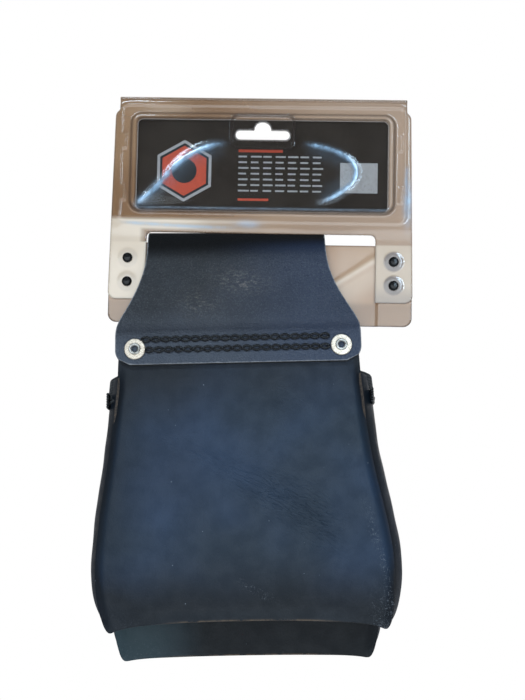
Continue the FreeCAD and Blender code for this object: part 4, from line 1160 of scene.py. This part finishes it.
# ---------------------------------------------------------------- hanger
# Drawn upright in (x, z) with its middle at x = 0, then leaned, canted and shifted by hang(). A
# _HALF is half a width; each _ROUND is the radius of that outline's corners.
HANGER_LEAN, HANGER_CANT = math.radians(6.5), math.radians(2.4)
HANGER_SHIFT, HANGER_REAR = 13.0, -1.84
SHEET, GAP = 0.45, 0.1
COVER_Y = -2.0 * SHEET - GAP
HEADER_TOP, HEADER_HALF, SHOULDER_Z = 113.2, 84.9, 103.5
ARM_END, ARM_TOP_HALF, ARM_LOW_HALF, ARM_ROUND = -6.6, 87.4, 89.2, 4.5
WINDOW_TOP, WINDOW_HALF, WINDOW_ROUND = 33.2, 67.2, 3.0
STRAP_TOP, STRAP_END, STRAP_HALF, STRAP_ROUND = 27.3, -20.3, 88.9, 5.0
TRAY_HALF, TRAY_LOW, TRAY_HIGH, TRAY_RISE, TRAY_FOOT, TRAY_ROUND = 78.4, 45.0, 104.8, 3.4, 0.4, 7.4
SLOT_HALF, SLOT_LOW, SLOT_HIGH, SLOT_ROUND, SLOT_BUMP = 16.0, 89.0, 94.7, 2.8, 5.0
WELL_HALF, WELL_LOW, WELL_HIGH, WELL_ROUND = 17.8, 84.2, 102.9, 4.0
BEAD_HALF, BEAD_LOW, BEAD_HIGH, BEAD_ROUND, BEAD_RISE = 84.0, 40.4, 109.6, 4.0, 0.8
CARD_HALF, CARD_LOW, CARD_HIGH, CARD_ROUND, CARD_SEAT = 73.9, 46.6, 100.7, 3.0, 0.45
CATCH_X, CATCH_ZS, CATCH_HALF, CATCH_RISE = 81.6, (57.0, 88.0), 4.6, 0.8
STUDS = [(side * 78.0, z) for side in (-1.0, 1.0) for z in (17.7, 3.7)]


def hang(points):
    """Points of the upright hanger, leaned about X, canted about Y and shifted to how it lies in
    the loop."""
    x, y, z = points[..., 0], points[..., 1], points[..., 2]
    cos, sin = math.cos(HANGER_LEAN), math.sin(HANGER_LEAN)
    y, z = y * cos - z * sin, y * sin + z * cos
    cos, sin = math.cos(HANGER_CANT), math.sin(HANGER_CANT)
    x, z = x * cos + z * sin, -x * sin + z * cos
    return np.stack([x + HANGER_SHIFT, y + HANGER_REAR, z], axis=-1)


def in_box(x, z, half, low, high, radius):
    """Distance inside a rounded rectangle that is symmetric in x, positive inside and negative
    outside: its corner radius less the distance from the rectangle that is smaller by that
    radius."""
    qx = np.abs(x) - half + radius
    qz = np.abs(z - (low + high) / 2.0) - (high - low) / 2.0 + radius
    beyond = np.hypot(np.maximum(qx, 0.0), np.maximum(qz, 0.0))
    return radius - (beyond + np.minimum(np.maximum(qx, qz), 0.0))


def in_slot(x, z):
    """Distance inside the hang slot: a low bar with round ends, and a round bump on its upper
    edge."""
    low_bar = in_box(x, z, SLOT_HALF, SLOT_LOW, SLOT_HIGH, SLOT_ROUND)
    return np.maximum(low_bar, SLOT_BUMP - np.hypot(x, z - SLOT_HIGH))


def in_sheet(x, z):
    """Distance inside one half of the clamshell: header and arms, less the window and the slot. The
    body widens evenly from its shoulders to the arms' ends, and the window is open below."""
    wide = ARM_TOP_HALF + (ARM_LOW_HALF - ARM_TOP_HALF) * (SHOULDER_Z - z) / (SHOULDER_Z - ARM_END)
    body = in_box(x * ARM_LOW_HALF / wide, z, ARM_LOW_HALF, ARM_END, SHOULDER_Z + 3.0, ARM_ROUND)
    neck = in_box(x, z, HEADER_HALF, 60.0, HEADER_TOP, 0.6)
    window = in_box(x, z, WINDOW_HALF, -60.0, WINDOW_TOP, WINDOW_ROUND)
    return np.minimum(np.minimum(np.maximum(body, neck), -window), -in_slot(x, z))


def cut_grid(x, z, inside, turns=3):
    """A flat grid (x, z) cut along the line where inside is 0: quads whose middle lies outside go,
    and the corners left on the cut slide to it down the slope of inside. Returns x, z and the faces
    that stay."""
    value = inside(x, z)
    keep = (value[:-1, :-1] + value[1:, :-1] + value[:-1, 1:] + value[1:, 1:]) > 0.0
    used = np.zeros(x.shape, int)
    for i in (0, 1):
        for j in (0, 1):
            used[i:x.shape[0] - 1 + i, j:x.shape[1] - 1 + j] += keep
    rim = (used > 0) & (used < 4)
    step = 0.05
    x, z = x.copy(), z.copy()
    for _ in range(turns):
        px, pz = x[rim], z[rim]
        here = inside(px, pz)
        gx = (inside(px + step, pz) - inside(px - step, pz)) / (2.0 * step)
        gz = (inside(px, pz + step) - inside(px, pz - step)) / (2.0 * step)
        size = np.maximum(gx**2 + gz**2, 0.25)
        x[rim], z[rim] = px - here * gx / size, pz - here * gz / size
    return x, z, quads(*x.shape)[keep.ravel()]


def in_card(x, z):
    """Distance inside the card's outline."""
    return in_box(x, z, CARD_HALF, CARD_LOW, CARD_HIGH, CARD_ROUND)


def tray_depth(x, z):
    """Distance inside the foot of the card tray's walls."""
    low, high = TRAY_LOW - TRAY_FOOT, TRAY_HIGH + TRAY_FOOT
    return in_box(x, z, TRAY_HALF + TRAY_FOOT, low, high, TRAY_ROUND)


def well_depth(x, z):
    """Distance inside the well round the hang slot."""
    return in_box(x, z, WELL_HALF, WELL_LOW, WELL_HIGH, WELL_ROUND)


def to_line(x, z, line):
    """Signed distance from a curved line, a cubic Bezier through its four (x, z) poles, and the
    share of its length at the nearest point. It is positive on the right of someone who walks along
    the line."""
    steps = 60
    path = bezier(line, steps)
    away = np.stack([x, z], axis=-1)[..., None, :] - path
    near = np.argmin((away**2).sum(axis=-1), axis=-1)
    ahead = np.gradient(path, axis=0)[near]
    offset = np.take_along_axis(away, near[..., None, None].repeat(2, axis=-1), axis=-2)[..., 0, :]
    cross = ahead[..., 1] * offset[..., 0] - ahead[..., 0] * offset[..., 1]
    return np.sign(cross) * np.hypot(offset[..., 0], offset[..., 1]), near / (steps - 1)


# Folds in the film over the card and along the rim, each (line, half width of its rise, height).
FOLDS = (
    (((-76.0, 49.0), (-55.0, 60.0), (-56.0, 84.0), (-18.0, 87.0)), 4.4, 1.4),
    (((22.0, 87.0), (62.0, 84.0), (70.0, 62.0), (29.0, 48.5)), 3.4, 0.86),
)
RIM_FOLDS = (
    (((-86.5, 39.0), (-62.0, 38.0), (-44.0, 35.8), (-4.0, 36.6)), 1.6, 0.42),
    (((85.6, 76.0), (83.6, 66.0), (86.2, 56.0), (84.2, 40.0)), 1.7, 0.36),
    (((-84.0, 108.0), (-60.0, 109.6), (-30.0, 107.6), (10.0, 109.0)), 1.6, 0.3),
)


def ripple(x, z, folds, reach):
    """Soft folds in the film: across each line it rises steeply by a smooth step and sinks back
    slowly, by exp(-d / reach), and it fades out at both ends of the line."""
    total = np.zeros_like(x)
    for line, wide, high in folds:
        d, share = to_line(x, z, line)
        ends = smooth(share, 0.0, 0.12) * smooth(share, 1.0, 0.88)
        total += high * ends * smooth(d, -wide, wide) * np.exp(-np.maximum(d, 0.0) / reach)
    return total


def tray_relief(x, z):
    """How far the cover stands out: the card tray with rounded walls, sunk again round the hang
    slot, a bead round the header, a low dome under each stud, the small catches beside the tray and
    the folds."""
    tray = tray_depth(x, z)
    rise = TRAY_RISE * smooth(tray, 0.0, 2.6)
    well = smooth(well_depth(x, z), -1.4, 0.2)
    bead = BEAD_RISE * dent(in_box(x, z, BEAD_HALF, BEAD_LOW, BEAD_HIGH, BEAD_ROUND), 0.9)
    bead *= smooth(z, 38.0, 46.0)
    studs = sum(0.22 * smooth(np.hypot(x - sx, z - sz), 6.1, 4.4) for sx, sz in STUDS)
    beside = np.abs(np.abs(x) - CATCH_X) - 0.7
    catches = sum(CATCH_RISE * smooth(np.maximum(beside, np.abs(z - cz) - CATCH_HALF), 0.7, -0.2)
                  for cz in CATCH_ZS)
    rim = smooth(tray, 0.0, -2.0) * smooth(in_sheet(x, z), 0.0, 1.5) * ripple(x, z, RIM_FOLDS, 3.0)
    film = smooth(tray, 4.0, 9.0) * (1.0 - well) * ripple(x, z, FOLDS, 9.0)
    return rise * (1.0 - well) + CARD_SEAT * well + bead + studs + catches + rim + film


def cast(x, z):
    """Where the sheet shows its painted tan cast, a stand-in for brown surroundings seen through
    the
    clear sheet: 1 outside the card and 0 over it.
    """
    return 1.0 - smooth(in_card(x, z), -1.2, 0.4)


def sky_glints(x, z):
    """Pale glints from 0 to 1: a bright band on each film fold with a weak one beside it, a thin
    one on two rim folds, and small ones on the right edge, the tray's lower wall and the rim under
    it."""
    sky = np.zeros_like(x)
    for line, wide, _ in FOLDS:
        d, share = to_line(x, z, line)
        ends = smooth(share, 0.0, 0.1) * smooth(share, 1.0, 0.85)
        band = 0.8 * dent(d - 0.8, 0.5 * wide) + 0.2 * smooth(d, -1.0, 1.0) * smooth(d, 13.0, 2.0)
        sky = np.maximum(sky, ends * band)
    for line, _, _ in RIM_FOLDS[:2]:
        d, share = to_line(x, z, line)
        ends = smooth(share, 0.0, 0.2) * smooth(share, 1.0, 0.7)
        sky = np.maximum(sky, 0.6 * dent(d, 1.0) * ends)
    spots = (0.8 * dent(np.hypot(x - 86.0, (z - 52.0) / 4.5), 2.4),
             0.7 * dent(tray_depth(x, z) - 2.8, 0.5) * smooth(z, 50.0, 46.0),
             0.5 * dent(np.hypot((x + 8.0) / 3.0, z - 38.5), 2.2))
    return np.maximum.reduce([sky, *spots])


def cover_shades(x, z):
    """The cover's values: its painted tan cast, painted shade where it stands steep or was cut,
    smoke where a stud draws it in and greyer low on the right, a painted highlight where it lies
    flat on a layer behind it and along parts of its rim, painted glints on its folds, and a painted
    greyer reflection towards the right."""
    # Painted shade at the tray and well walls, round the slot and along the cut edge.
    wall = (dent(tray_depth(x, z) - 1.3, 1.0) + 0.9 * dent(well_depth(x, z) + 0.6, 0.9)
            + 0.7 * dent(in_slot(x, z) + 0.4, 0.7) + 0.5 * dent(in_sheet(x, z), 0.7))
    smoke = sum((0.15 if sx < 0 else 0.8) * smooth(np.hypot(x - sx, z - sz), 6.4, 5.2)
                for sx, sz in STUDS)
    smoke = np.maximum(smoke, 0.45 * smooth(z, 6.0, -6.0) * (x > 0.0))
    # Painted highlights: on the tabs where layers lie together, on the rim below the tray to the
    # left, and high on the left.
    tab_highlight = smooth(z, STRAP_TOP + 0.3, STRAP_TOP - 0.3) * np.where(x < 0, 0.95, 0.7)
    over_window = np.maximum(smooth(z, 33.0, 36.0), smooth(-x, 66.0, 72.0))
    low_rim_highlight = 0.9 * smooth(z, 43.0, 40.0) * smooth(x, 20.0, -56.0) * over_window
    high_rim_highlight = 0.3 * dent(z - 106.0, 2.5) * dent(x + 58.0, 18.0)
    return {
        "tint": cast(x, z),
        "wall": np.clip(wall, 0.0, 1.0),
        "smoke": smoke,
        "pale": np.maximum.reduce([tab_highlight, low_rim_highlight, high_rim_highlight]),
        "sky": sky_glints(x, z),
        "side": smooth(x, -70.0, 70.0),
    }


def back_shades(x, z):
    """The back half's values: its painted tan cast, clear behind the card too, and painted shade at
    its cut edge.
    """
    none = np.zeros_like(x)
    return {
        "tint": cast(x, z),
        "wall": 0.6 * dent(in_sheet(x, z), 0.7),
        "smoke": none,
        "pale": none,
        "sky": none,
        "side": smooth(x, -70.0, 70.0),
    }


def strap_crease(x, z):
    """How far a point lies below the strap's slanting crease, a line through (50, 8) that rises
    0.64 for each millimetre to the right."""
    return 0.64 * (x - 50.0) - (z - 8.0)


def in_strap(x, z):
    """Distance inside the strap's outline."""
    return in_box(x, z, STRAP_HALF, STRAP_END, STRAP_TOP, STRAP_ROUND)


def strap_shades(x, z):
    """The strap's values: its painted tan cast all over, painted shade along its cut edge and low
    down, and a painted highlight along its crease and to the right of it, where the light falls on
    it."""
    none = np.zeros_like(x)
    course = strap_crease(x, z)
    # Painted highlight along the crease and to its right, and faint painted light on the upper
    # right.
    band = 0.45 * smooth(course, 0.0, 6.0) * smooth(course, 26.0, 8.0)
    streak = (0.8 * dent(course, 2.2) + band) * smooth(x, 34.0, 42.0)
    lit = 0.16 * smooth(z, -6.0, 2.0) * smooth(x, 40.0, 50.0)
    return {
        "tint": none + 1.0,
        # painted shade along the cut edge and low down
        "wall": 0.8 * dent(in_strap(x, z), 0.6) + 0.42 * smooth(z, -5.0, -9.0),
        "smoke": none,
        "pale": np.maximum(0.8 * streak, lit) * smooth(x, 70.0, 66.0),
        "sky": none,
        "side": none,
    }


def cut_sheet(name, outline, spans, place, shades, look, thick=SHEET):
    """A thin sheet on a grid over spans (x from, x to, columns, z from, z to, rows), cut to its
    outline. place gives its depth at (x, z) and shades its named values."""
    x, z = np.meshgrid(np.linspace(*spans[:3]), np.linspace(*spans[3:]))
    x, z, faces = cut_grid(x, z, outline)
    points = hang(np.stack([x, place(x, z), z], axis=-1)).reshape(-1, 3)
    used, packed = np.unique(faces, return_inverse=True)
    values = {key: value.ravel()[used] for key, value in shades(x, z).items()}
    obj = new_mesh(name, points[used], packed.reshape(faces.shape), [finish(look)], values)
    return thicken(obj, thick, offset=0.0, ease=0.0, cut_finish=0)


def cover_depth(x, z):
    """The cover's depth: its plane less its relief and, above the window, a faint unevenness."""
    uneven = 0.16 * (1.0 + swell(x, z, 38.0, 21)) * smooth(z, 30.0, 37.0)
    return COVER_Y + SHEET / 2.0 - tray_relief(x, z) - uneven


def back_depth(x, z):
    """The back's depth: flat."""
    return np.full_like(x, -SHEET / 2.0)


def make_hanger_shell():
    """Cover, back and the rolled fold that joins them at the top, an arc of an oval."""
    wide, margin = ARM_LOW_HALF + 0.2, 0.2
    spans = (-wide, wide, 261, ARM_END - margin, HEADER_TOP + margin, 175)
    cover = cut_sheet("hanger_cover", in_sheet, spans, cover_depth, cover_shades, "cover")
    back = cut_sheet("hanger_back", in_sheet, spans, back_depth, back_shades, "back")
    a = np.linspace(-0.35 * np.pi, 1.35 * np.pi, 18)
    ring = np.stack([COVER_Y / 2.0 + np.cos(a), HEADER_TOP - 0.2 + 0.9 * np.sin(a)], axis=1)
    x = np.linspace(-HEADER_HALF, HEADER_HALF, 120)
    grid = np.stack(np.broadcast_arrays(x[None, :], ring[:, None, 0], ring[:, None, 1]), axis=-1)
    shades = back_shades(grid[..., 0], grid[..., 2])
    fold = grid_mesh("hanger_fold", hang(grid), [finish("cover")], shades, flip=True)
    thicken(fold, SHEET, offset=0.0, ease=0.0, cut_finish=0)
    for piece in (cover, back, fold):
        belongs(piece, "hanger", "clear_sheet")
    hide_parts("hanger_shell")


def strap_depth(x, z):
    """The strap's depth: stepped back between the arms, with a soft slanting crease on its
    right."""
    step = 1.3 * smooth(np.abs(x), 70.2, 67.0)
    crease = 0.2 * dent(strap_crease(x, z), 2.6) * smooth(x, 38.0, 46.0) * smooth(x, 70.0, 64.0)
    return SHEET / 2.0 + step - crease


def make_hanger_strap():
    """The strap of the hanger, a thin strip with round corners."""
    margin = 0.2
    wide = STRAP_HALF + margin
    spans = (-wide, wide, 220, STRAP_END - margin, STRAP_TOP + margin, 60)
    obj = cut_sheet("hanger_strap_sheet", in_strap, spans, strap_depth, strap_shades, "strap",
                    SHEET - 0.05)
    return belongs(obj, "hanger", "clear_sheet", "hanger_strap")


def bar(x_from, x_to, z_from, z_to):
    """Corners of a printed bar, in the hanger's own upright plane."""
    return np.array([[x_from, z_from], [x_to, z_from], [x_to, z_to], [x_from, z_to]])


INK_LIFT, INK_STEP = 0.01, 0.012


def printed(name, shapes, look, level=0):
    """Flat shapes as thin ink on the card: each is a ring of (x, z) corners, filled from its
    middle. A higher level lies over a lower one."""
    points, faces, start = [], [], 0
    y = -2.0 * SHEET - INK_LIFT - INK_STEP * level
    for ring in shapes:
        count = len(ring)
        middle = ring.mean(axis=0)[None]
        flat = np.concatenate([ring, middle])
        points.append(np.stack([flat[:, 0], np.full(count + 1, y), flat[:, 1]], axis=1))
        i = np.arange(count)
        faces.append(np.stack([i, (i + 1) % count, np.full(count, count)], axis=1) + start)
        start += count + 1
    obj = new_mesh(name, hang(np.concatenate(points)), np.concatenate(faces), [finish(look)],
                   smooth_faces=False)
    return belongs(obj, "hanger", "printed_card")


def make_card():
    """The card with a plain generic print: a hexagon nut, a heading bar over rows of dashes, a pale
    panel."""
    dress("print_card", "card")
    rng = np.random.default_rng(8)
    lines = [(x, z) for z in np.arange(79.0, 57.0, -3.4) for x in np.arange(-14.0, 30.0, 7.3)]
    dashes = [bar(x, x + rng.uniform(4.2, 6.4), z - 0.5, z + 0.5) for x, z in lines]
    printed("card_dashes", dashes, "ink_pale")
    headings = [bar(-14.0, 12.0, 81.6, 83.2), bar(-14.0, 4.0, 52.6, 54.0)]
    printed("card_heading", headings, "ink_orange")
    turn = np.radians(np.arange(30.0, 390.0, 60.0))
    circle = np.linspace(0.0, 2.0 * np.pi, 40)[:-1]
    nut = np.array([-46.0, 70.0])
    rings = (("card_nut_rim", turn, 18.5, "ink_pale"),
             ("card_nut_gap", turn, 16.6, "ink_black"),
             ("card_nut_face", turn, 15.0, "ink_orange"),
             ("card_nut_hole", circle, 7.4, "ink_black"))
    for level, (name, angles, size, look) in enumerate(rings):
        ring = nut + size * np.stack([np.cos(angles), np.sin(angles)], axis=1)
        printed(name, [ring], look, level)
    printed("card_panel", [bar(46.0, 68.0, 58.0, 76.0)], "ink_pale")


# ---------------------------------------------------------------- stage
CAMERA_AIM = (14.0, 0.0, -35.4)
CAMERA_AZIMUTH, CAMERA_ELEVATION, CAMERA_ROLL = 1.0, -10.0, 1.1
CAMERA_DISTANCE, CAMERA_LENS, CAMERA_SENSOR = 522.0, 46.2, 36.0
CAMERA_NEAR, CAMERA_FAR = 0.01, 20.0
# Each lamp: name, place, aim, width and height, the setting that gives its power, and its tone.
LAMPS = (
    ("low_front", (-60.0, -900.0, -215.0), (10.0, 0.0, -60.0), (1000.0, 600.0),
     "low_lamp", (0.84, 0.93, 1.0)),
    ("high_left", (-280.0, -810.0, 490.0), (0.0, 0.0, 60.0), (260.0, 120.0),
     "left_lamp", (0.66, 0.84, 1.0)),
    ("right_strip", (340.0, -884.0, 207.0), (20.0, 0.0, 60.0), (90.0, 560.0),
     "right_lamp", (0.62, 0.82, 1.0)),
    ("behind", (420.0, 900.0, 420.0), (0.0, 0.0, -60.0), (900.0, 700.0),
     "rear_lamp", (1.0, 1.0, 1.0)),
)
FLOOR_DROP, FLOOR_HALF = 160.0, 3000.0


def stand(obj, right, up, back, place):
    """Put an object in the scene by its three axes and its place in metres, the columns of its
    matrix."""
    matrix = np.eye(4)
    matrix[:3, 0], matrix[:3, 1], matrix[:3, 2], matrix[:3, 3] = right, up, back, place
    obj.matrix_world = matrix.T.tolist()
    bpy.context.scene.collection.objects.link(obj)


def make_camera():
    """Camera below and in front of the wearer's side, rolled a little."""
    az, el, roll = (math.radians(a) for a in (CAMERA_AZIMUTH, CAMERA_ELEVATION, CAMERA_ROLL))
    back = np.array([math.sin(az) * math.cos(el), -math.cos(az) * math.cos(el), math.sin(el)])
    right = np.array([math.cos(az), math.sin(az), 0.0])
    up = np.cross(back, right)
    cos, sin = math.cos(roll), math.sin(roll)
    right, up = cos * right - sin * up, sin * right + cos * up
    data = bpy.data.cameras.new("camera")
    data.lens = CAMERA_LENS
    data.sensor_width = CAMERA_SENSOR
    data.clip_start, data.clip_end = CAMERA_NEAR, CAMERA_FAR
    obj = bpy.data.objects.new("camera", data)
    stand(obj, right, up, back, (np.array(CAMERA_AIM) + CAMERA_DISTANCE * back) * MM)
    bpy.context.scene.camera = obj


def make_lamp(name, place, aim, size, power, tone):
    """A soft rectangular lamp at place (mm) that looks at aim."""
    data = bpy.data.lights.new(name, "AREA")
    data.shape = "RECTANGLE"
    data.size, data.size_y = size[0] * MM, size[1] * MM
    data.energy = power
    data.color = tone
    obj = bpy.data.objects.new(name, data)
    obj.visible_camera = False
    back = unit(np.array(place, float) - np.array(aim, float))
    right = unit(np.cross([0.0, 0.0, 1.0], back))
    stand(obj, right, np.cross(back, right), back, np.array(place) * MM)


def make_world(strength):
    """A dim even room for the object. The camera, clear sheet and, in the backdrop's direction,
    glossy surfaces see plain white instead."""
    world = bpy.data.worlds.new("room")
    world.use_nodes = True
    tree = world.node_tree
    tree.nodes.clear()

    def add(kind, *links, **settings):
        """A node with its settings, and its inputs given as (name, socket or value)."""
        node = tree.nodes.new(kind)
        for key, value in settings.items():
            setattr(node, key, value)
        for key, source in links:
            if isinstance(source, bpy.types.NodeSocket):
                tree.links.new(source, node.inputs[key])
            else:
                node.inputs[key].default_value = source
        return node

    path = add("ShaderNodeLightPath")
    way = add("ShaderNodeSeparateXYZ", ("Vector", add("ShaderNodeTexCoord").outputs["Generated"]))
    behind = add("ShaderNodeMapRange", ("Value", way.outputs["Y"]), ("From Min", 0.3),
                 ("From Max", 0.8))
    glossy = add("ShaderNodeMath", (0, path.outputs["Is Glossy Ray"]), (1, behind.outputs[0]),
                 operation="MULTIPLY")
    seen = add("ShaderNodeMath", (0, path.outputs["Is Camera Ray"]),
               (1, path.outputs["Is Transmission Ray"]), operation="MAXIMUM")
    seen = add("ShaderNodeMath", (0, seen.outputs[0]), (1, glossy.outputs[0]), operation="MAXIMUM")
    room = add("ShaderNodeBackground", ("Color", srgb(222, 228, 238)), ("Strength", strength))
    plain = add("ShaderNodeBackground", ("Color", (1.0, 1.0, 1.0, 1.0)))
    mix = add("ShaderNodeMixShader", ("Fac", seen.outputs[0]), (1, room.outputs[0]),
              (2, plain.outputs[0]))
    out = add("ShaderNodeOutputWorld")
    tree.links.new(mix.outputs[0], out.inputs["Surface"])
    bpy.context.scene.world = world


def make_floor():
    """A pale floor well below the hanging pouch, white to the camera."""
    f = Finish("floor", Roughness=0.9, Base_Color=srgb(245, 245, 245))
    glow = f.add("ShaderNodeEmission", {"Color": (1.0, 1.0, 1.0, 1.0), "Strength": 1.0})
    seen = f.add("ShaderNodeLightPath").outputs["Is Camera Ray"]
    mix = f.add("ShaderNodeMixShader", {
        "Fac": seen, 1: f.shader.outputs["BSDF"], 2: glow.outputs["Emission"]})
    f.join(mix.outputs[0], f.out.inputs["Surface"])
    low = CAD_BOX[0][2] / MM - FLOOR_DROP
    x, y = np.meshgrid(*[np.linspace(-FLOOR_HALF, FLOOR_HALF, 9)] * 2)
    grid = np.stack([x, y, np.full_like(x, low)], axis=-1)
    floor = grid_mesh("floor", grid, [f.material], flip=True)


# ---------------------------------------------------------------- add-on
def colour_setting(name, description, default):
    """A colour that a user can change."""
    return bpy.props.FloatVectorProperty(
        name=name, description=description, subtype="COLOR", size=4, min=0.0, max=1.0,
        default=default)


def power_setting(name, description, default):
    """A lamp's power that a user can change."""
    return bpy.props.FloatProperty(
        name=name, description=description, subtype="POWER", default=default, min=0.0)


class PouchColours(bpy.types.PropertyGroup):
    """Colours of the leathers and the sheet."""

    harness: colour_setting("Harness leather", "Ground colour of the belt loop", srgb(28, 31, 36))
    harness_bloom: colour_setting("Harness bloom", "Grey bloom on the belt loop", srgb(44, 48, 56))
    bag: colour_setting("Bag leather", "Ground colour of the bags", srgb(28, 42, 55))
    bag_cloud: colour_setting("Bag clouding", "Bluer clouds in the bag leather", srgb(36, 55, 79))
    # The sheet colour and its haze are painted reflection of brown surroundings seen through the
    # clear sheet.
    sheet: colour_setting("Sheet", "Smoky cast of the hanger sheet", srgb(146, 104, 68))
    sheet_haze: colour_setting("Sheet haze", "Paler haze in the hanger sheet", srgb(196, 158, 122))


class StageSettings(bpy.types.PropertyGroup):
    """How the stage is lit."""

    low_lamp: power_setting("Low lamp", "Large soft lamp at the pouch's own height", 4.6)
    left_lamp: power_setting("Left lamp", "Small lamp high on the left, for the sheet", 3.0)
    right_lamp: power_setting("Right lamp", "Upright strip on the right", 2.6)
    rear_lamp: power_setting("Rear lamp", "Soft lamp that lights the bags' own side", 7.0)
    room: bpy.props.FloatProperty(
        name="Room", description="Strength of the even room light", default=0.3, min=0.0)


class POUCH_OT_belt_loop(bpy.types.Operator):
    """Build the folded belt loop and its stitching"""

    bl_idname = "pouch.belt_loop"
    bl_label = "Belt loop"

    def execute(self, context):
        make_loop()
        make_loop_stitches()
        return {"FINISHED"}


class POUCH_OT_main_bag(bpy.types.Operator):
    """Build the rear panel and the main bag with its binding and tacks"""

    bl_idname = "pouch.main_bag"
    bl_label = "Main bag"

    def execute(self, context):
        make_rear_panel()
        skin = bag_skin("main_bag_leather", MAIN, None, 31)
        belongs(skin, "pouch", "bag_leather", "main_bag_shell")
        make_binding("main_binding", MAIN, None, "main_mouth_band")
        make_seam_tacks()
        return {"FINISHED"}


class POUCH_OT_front_bag(bpy.types.Operator):
    """Build the front bag with its back panel, binding, tool loops and pocket"""

    bl_idname = "pouch.front_bag"
    bl_label = "Front bag"

    def execute(self, context):
        make_front_back()
        skin = bag_skin("front_bag_leather", FRONT, MAIN, 47)
        belongs(skin, "pouch", "bag_leather", "front_bag_shell")
        make_binding("front_binding", FRONT, MAIN, "front_mouth_band")
        make_binding_stitches()
        make_tool_strip()
        make_pocket()
        return {"FINISHED"}


class POUCH_OT_metal(bpy.types.Operator):
    """Finish the rivets, washers and press studs"""

    bl_idname = "pouch.metal"
    bl_label = "Rivets and studs"

    def execute(self, context):
        make_rivets()
        make_studs()
        return {"FINISHED"}


class POUCH_OT_hanger(bpy.types.Operator):
    """Build the clamshell hanger, its strap and its card"""

    bl_idname = "pouch.hanger"
    bl_label = "Hanger"

    def execute(self, context):
        make_hanger_shell()
        make_hanger_strap()
        make_card()
        return {"FINISHED"}


class POUCH_OT_stage(bpy.types.Operator):
    """Set up the floor, the light and the camera"""

    bl_idname = "pouch.stage"
    bl_label = "Stage"

    def execute(self, context):
        settings = context.scene.pouch_stage
        make_floor()
        make_world(settings.room)
        for name, place, aim, size, power, tone in LAMPS:
            make_lamp(name, place, aim, size, getattr(settings, power), tone)
        make_camera()
        context.scene.view_settings.view_transform = "Standard"
        return {"FINISHED"}


class POUCH_PT_panel(bpy.types.Panel):
    """Lists the pieces of the pouch"""

    bl_idname = "POUCH_PT_panel"
    bl_label = "Tool pouch"
    bl_space_type = "VIEW_3D"
    bl_region_type = "UI"
    bl_category = "Tool pouch"

    def draw(self, context):
        for step in STEPS:
            self.layout.operator(step.bl_idname)
        for group in (context.scene.pouch_colours, context.scene.pouch_stage):
            for key in group.bl_rna.properties.keys():
                if key not in ("rna_type", "name"):
                    self.layout.prop(group, key)


STEPS = (POUCH_OT_belt_loop, POUCH_OT_main_bag, POUCH_OT_front_bag, POUCH_OT_metal, POUCH_OT_hanger,
         POUCH_OT_stage)
CLASSES = (PouchColours, StageSettings) + STEPS + (POUCH_PT_panel,)


def register():
    """Register every class and hang the settings on the scene."""
    for cls in CLASSES:
        bpy.utils.register_class(cls)
    bpy.types.Scene.pouch_colours = bpy.props.PointerProperty(type=PouchColours)
    bpy.types.Scene.pouch_stage = bpy.props.PointerProperty(type=StageSettings)


def unregister():
    """Take the settings off the scene and unregister every class."""
    del bpy.types.Scene.pouch_colours
    del bpy.types.Scene.pouch_stage
    for cls in reversed(CLASSES):
        bpy.utils.unregister_class(cls)


def main():
    register()
    for step in STEPS:
        group, name = step.bl_idname.split(".")
        getattr(getattr(bpy.ops, group), name)()


if __name__ == "__main__":
    main()
